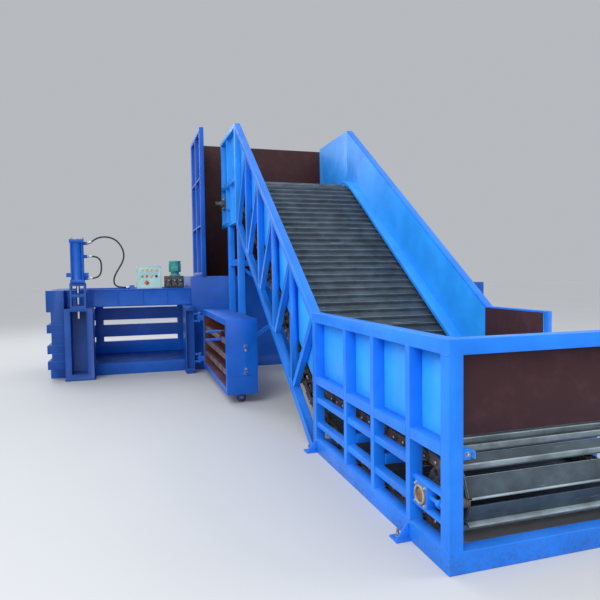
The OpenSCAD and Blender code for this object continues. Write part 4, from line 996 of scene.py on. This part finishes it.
class BALER_OT_power(bpy.types.Operator):
    """Make the small fittings of both motors, the valves, the main cylinder and the oil tank"""

    bl_idname = "baler.power"
    bl_label = "Power unit"

    def execute(self, context):
        def on_pump(dx, dy, z):
            return at(PUMP[0] + dx, PUMP[1] + dy, z)

        def on_gear(dx, dy, dz):
            return at(WIDE + 0.066 + dx, HEAD[0] + dy, HEAD[1] + dz)

        def cowl(place, outer, count):
            for r in np.linspace(0.022, outer, count):
                collar(grille, place, UP, r - 0.002, r + 0.002, 0.004, 40)

        bolts, teal, grille, cap = Surface(), Surface(), Surface(), Surface()
        cowl(on_pump(0, 0, COWL), 0.082, 6)
        for a, c, s in around(4, 1.0, math.pi / 4):
            hexbolt(bolts, on_pump(0.096 * c, 0.096 * s, 1.5206), UP, 0.0085, phase=a)
            hexbolt(bolts, on_pump(0.086 * c, 0.086 * s, COWL), UP, 0.0055, thread=False)
        for dx, dz in product((-0.030, 0.030), (0.090, 0.150)):
            dome(bolts, on_pump(dx, -0.125, 1.5006 + dz), FRONT, 0.0045, 0.0025, 12, 4)
        lathe(bolts, on_pump(-0.040, -0.095, 1.6206), LEFT, [
            (0.013, 0), (0.013, 0.008), (0.010, 0.010), (0.010, 0.020), (0.006, 0.022)], 6)
        for x in VALVES:
            lathe(bolts, at(x, 6.5272 - 0.026, 1.4303), FRONT, [
                (0.014, 0), (0.014, 0.006), (0.011, 0.008), (0.006, 0.009)], 6)
            for dx, dz in product((-0.027, 0.027), (0.040, 0.138)):
                dome(bolts, at(x + dx, 6.526, ROOF + dz), FRONT, 0.0045, 0.0030, 12, 4)
            collar(bolts, at(x, 6.527, 1.3703), FRONT, 0.0142, 0.0180, 0.010, 24)
        for dy, dz in product((-0.090, 0.090), (-0.108, 0.108)):
            hexbolt(bolts, on_gear(0.150, dy, dz), RIGHT, 0.0100, phase=dy)
        box_piece(teal, on_gear(-0.062, -0.055, 0.270), on_gear(-0.004, 0.055, 0.390), 0.006)
        cowl(on_gear(0.075, 0, 0.530), 0.080, 5)
        for a, dy, dz in around(12, 0.172):
            hexbolt(bolts, at(CYLINDER[0], CYLINDER[1] + dy, CYLINDER[2] + dz), LEFT, 0.0140, phase=a)
        collar(bolts, at(*CYLINDER), LEFT, 0.0765, 0.105, 0.012, 48)
        lathe(cap, at(*FILLER, 1.9303), UP, [
            (0.050, -0.012), (0.056, -0.010), (0.056, 0.020), (0.050, 0.028), (0.020, 0.030)], 32)
        for _, dx, dy in around(12, 0.056):
            grip = at(FILLER[0] + dx, FILLER[1] + dy, 1.921)
            lathe(cap, grip, UP, [(0.004, 0), (0.004, 0.026), (0.002, 0.028)], 8)
        for dy, dx in product((0.06, 1.12), (0.05, 1.05)):
            hexbolt(bolts, at(TANK[0] + dx, TANK[1] + dy, TANK[2]), UP, 0.0100, phase=dy)
        bolts.build("power_bolts", "baler", "dark_steel", 30, rolled_steel(
            "Zinc fittings", (0.34, 0.34, 0.32), (0.70, 0.70, 0.68)))
        teal.build("terminal_box", "baler", "teal_paint", 30)
        grille.build("cowl_rings", "baler", "teal_paint", 35)
        cap.build("filler_cap", "baler", "black_plastic", 35)
        return {"FINISHED"}


class BALER_OT_welds(bpy.types.Operator):
    """Lay weld beads along the seams of the frames, the end wall, the roof and the lock column"""

    bl_idname = "baler.welds"
    bl_label = "Welds"

    def execute(self, context):
        r = context.scene.baler_fasteners.weld
        near, press, leaf = Surface(), Surface(), Surface()
        for x, out in both_sides(0.0):
            for y, wide in POSTS:
                for edge in (y, y + wide):
                    bead(near, at(x, edge, 0.582), at(x, edge, 0.638), out, 0.7 * r)
                for z in (0.115, 1.095):
                    if z < 1 or x < 1 or y > 1:
                        bead(near, at(x, y + 0.003, z), at(x, y + wide - 0.003, z), out, 0.7 * r)
        truss = TROUGH + 0.090
        foot_slope = (2.2554 - 0.030) / (APEX + 0.060 - truss)
        bay = (APEX - TROUGH) / 5
        for x, out in both_sides(0.005):
            for i in range(1, 5):
                y = TROUGH + i * bay
                top = 1.135 + (y - TROUGH) * math.tan(RISE) - 0.040 / math.cos(RISE)
                foot = 0.030 + (y - truss) * foot_slope + 0.040 * math.hypot(1, foot_slope)
                for z, rise, down in ((top, math.tan(RISE), -1), (foot, foot_slope, 1)):
                    ends = [at(x, y + dy, z + dy * rise) for dy in (-0.030, 0.030)]
                    bead(near, *ends, (out[0], 0, down), r)
        for x, y in LEGS:
            for (ax, ay), (bx, by), up in (
                ((0, 0), (LEG, 0), (0, -1, 1)), ((0, LEG), (LEG, LEG), (0, 1, 1)),
                ((0, 0), (0, LEG), (-1, 0, 1)), ((LEG, 0), (LEG, LEG), (1, 0, 1)),
            ):
                bead(near, at(x + ax, y + ay, 0.015), at(x + bx, y + by, 0.015), up, r)
        for rung in (0.2923, 0.400, 0.520, 0.700, 0.820, 1.002):
            bead(press, at(-2.568, 6.265, rung), at(-2.396, 6.265, rung), FRONT, 0.8 * r)
        ribs, thick, first, wide = 6, 0.020, -2.3917, 1.8417
        for i in range(ribs):
            x = first + i * (wide - thick) / (ribs - 1)
            for dx, side in ((0.0, -1), (thick, 1)):
                if (i, side) not in ((0, -1), (ribs - 1, 1)):
                    bead(press, at(x + dx, 6.560, 1.064), at(x + dx, 6.560, 1.288), (side, -1, 0), r)
        for a, b, up in (
            ((-1.995, 6.550, 0.112), (-0.685, 6.550, 0.112), FRONT),
            ((-1.330, 6.550, 0.004), (-1.330, 6.550, 0.112), FRONT),
            ((-2.392, 6.205, 0.025), (-2.000, 6.205, 0.025), (0, -1, 1)),
            ((-2.306, 6.205, 1.042), (-2.086, 6.205, 1.042), FRONT),
            ((-2.306, 6.207, 1.042), (-2.306, 6.343, 1.042), (-1, 0, 1)),
            ((-2.086, 6.207, 1.042), (-2.086, 6.343, 1.042), (1, 0, 1)),
        ):
            bead(press, at(*a), at(*b), up, r)
        for z, up in ((0.7000, -1), (0.7250, 1), (0.8000, -1), (0.8250, 1)):
            bead(leaf, at(-0.279, 4.419, z), at(-0.279, 4.495, z), (-1, 0, up), r)
        for y, z in product((6.520, 7.115, 7.710), (1.4903 + 0.060, 3.770)):
            bead(press, at(-0.376, y + 0.003, z), at(-0.376, y + 0.057, z), LEFT, 0.8 * r)
        near.build("conveyor_welds", "baler", "bright_blue", 60)
        leaf.build("door_welds", BODY["side_door"], "deep_blue", 60)
        press.build("press_welds", "baler", "deep_blue", 60)
        return {"FINISHED"}


class BALER_OT_finishes(bpy.types.Operator):
    """Give every node its finish and round its edges"""

    bl_idname = "baler.finishes"
    bl_label = "Finishes"

    def execute(self, context):
        paint = context.scene.baler_paint
        for name, node in NODES.items():
            mesh, slot = node.data, SLOT[name]
            mesh.materials.clear()
            mesh.materials.append(LOOKS[name](paint) if name in LOOKS else material_of(slot))
            if name in ("chain_left", "chain_right", "apron_pans", "cap_hose", "loop_hose"):
                mesh.shade_smooth()
                mesh.set_sharp_from_angle(angle=math.radians(30))
                continue
            thinnest = min(b - a for a, b in zip(*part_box(name)))
            weld = node.modifiers.new("Join", "WELD")
            weld.merge_threshold = 0.00002
            bevel = node.modifiers.new("Round", "BEVEL")
            bevel.width = min(paint.round_edges, 0.12 * thinnest)
            bevel.segments = 2
            bevel.limit_method = "ANGLE"
            bevel.angle_limit = math.radians(32)
            bevel.harden_normals = True
            bevel.use_clamp_overlap = True
            mesh.shade_smooth()
        return {"FINISHED"}


def placed(columns, spot):
    """A matrix with these X, Y and Z directions that stands on a spot."""
    turn = Matrix(np.stack(columns, 1).tolist()).to_4x4()
    turn.translation = spot.tolist()
    return turn


def spin(axis, degrees):
    """The rotation about one axis of the row frame as a 3 by 3 array."""
    a = math.radians(degrees)
    i, j = (axis + 1) % 3, (axis + 2) % 3
    turn = np.eye(3)
    turn[i, i] = turn[j, j] = math.cos(a)
    turn[j, i], turn[i, j] = math.sin(a), -math.sin(a)
    return turn


class BALER_OT_stage(bpy.types.Operator):
    """Set the floor, the soft lamps, the sky and the camera"""

    bl_idname = "baler.stage"
    bl_label = "Stage"

    def execute(self, context):
        scene = context.scene
        stage = scene.baler_stage
        floor = Surface()
        span = np.linspace(-stage.floor, stage.floor, 5)
        xs, ys = np.meshgrid(span, span, indexing="ij")
        floor.grid(np.stack([xs, ys, np.full_like(xs, -0.0005)], 2))
        ground = put("floor", floor.mesh("floor"))
        f = Finish("Pale floor")
        cloud = f.place.noise(0.6, 4)
        grey = cloud.blend((0.555, 0.565, 0.575), (0.515, 0.525, 0.535))
        ground.data.materials.append(f.set(color=grey, rough=0.70 + 0.1 * cloud))
        for name, place, size, power, aim in (
            ("key", (-6.4, -2.6, 7.5), 6.0, stage.key, (-0.5, 3.0, 0.8)),
            ("side", (7.5, -1.0, 6.0), 5.0, stage.key * 0.45, (0.5, 3.0, 0.8)),
            ("low", (-3.4, -4.2, 3.0), 4.0, stage.key * 0.16, (-1.5, 6.4, 0.7)),
            ("back", (-4.5, 11.0, 7.0), 5.0, stage.key * 0.5, (-0.5, 6.5, 1.0)),
        ):
            data = bpy.data.lights.new(name, "AREA")
            data.shape = "SQUARE"
            data.size = size
            data.energy = power
            lamp = put(name, data)
            n, u, v = frame_along(at(*place) - at(*aim))
            lamp.matrix_world = placed((u, v, n), at(*place))
        world = bpy.data.worlds.new("Even sky")
        world.use_nodes = True
        nodes, links = world.node_tree.nodes, world.node_tree.links
        sky = nodes["Background"]
        sky.inputs["Color"].default_value = (0.93, 0.96, 1.0, 1.0)
        sky.inputs["Strength"].default_value = stage.fill
        seen = nodes.new("ShaderNodeBackground")
        seen.inputs["Color"].default_value = (0.47, 0.49, 0.52, 1.0)
        ray = nodes.new("ShaderNodeLightPath")
        pick = nodes.new("ShaderNodeMixShader")
        links.new(ray.outputs["Is Camera Ray"], pick.inputs[0])
        links.new(sky.outputs[0], pick.inputs[1])
        links.new(seen.outputs[0], pick.inputs[2])
        links.new(pick.outputs[0], nodes["World Output"].inputs["Surface"])
        scene.world = world
        yaw, pitch, roll, eye = -16.992, -2.672, 0.764, (-1.4593, -2.3241, 1.5)
        turn = spin(2, yaw) @ spin(0, pitch) @ spin(1, roll)
        data = bpy.data.cameras.new("Photo view")
        data.sensor_width = 36
        data.lens = stage.lens
        data.dof.use_dof = False
        data.clip_end = 200
        camera = put("Photo view", data)
        camera.matrix_world = placed((turn[:, 0], turn[:, 2], -turn[:, 1]), at(*eye))
        scene.camera = camera
        scene.view_settings.view_transform = "Standard"
        return {"FINISHED"}


# Panel and registration


class BALER_PT_panel(bpy.types.Panel):
    """Settings and steps of the baler's looks"""

    bl_label = "Baler"
    bl_idname = "BALER_PT_panel"
    bl_space_type = "VIEW_3D"
    bl_region_type = "UI"
    bl_category = "Baler"

    def draw(self, context):
        scene = context.scene
        for group in (scene.baler_paint, scene.baler_hoses, scene.baler_fasteners, scene.baler_stage):
            for key in group.bl_rna.properties.keys():
                if key not in ("rna_type", "name"):
                    self.layout.prop(group, key)
        for step in STEPS:
            self.layout.operator(step.bl_idname)


STEPS = (
    BALER_OT_stage, BALER_OT_hoses, BALER_OT_apron, BALER_OT_bearings, BALER_OT_anchors, BALER_OT_door,
    BALER_OT_lock, BALER_OT_controls, BALER_OT_power, BALER_OT_welds, BALER_OT_finishes,
)
GROUPS = {
    "baler_paint": BALER_Paint,
    "baler_hoses": BALER_Hoses,
    "baler_fasteners": BALER_Fasteners,
    "baler_stage": BALER_Stage,
}


def register():
    for cls in (*GROUPS.values(), *STEPS, BALER_PT_panel):
        bpy.utils.register_class(cls)
    for name, group in GROUPS.items():
        setattr(bpy.types.Scene, name, PointerProperty(type=group))


def unregister():
    for name in GROUPS:
        delattr(bpy.types.Scene, name)
    for cls in reversed((*GROUPS.values(), *STEPS, BALER_PT_panel)):
        bpy.utils.unregister_class(cls)


def main():
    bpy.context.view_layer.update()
    register()
    for step in STEPS:
        group, name = step.bl_idname.split(".")
        getattr(getattr(bpy.ops, group), name)()


if __name__ == "__main__":
    main()
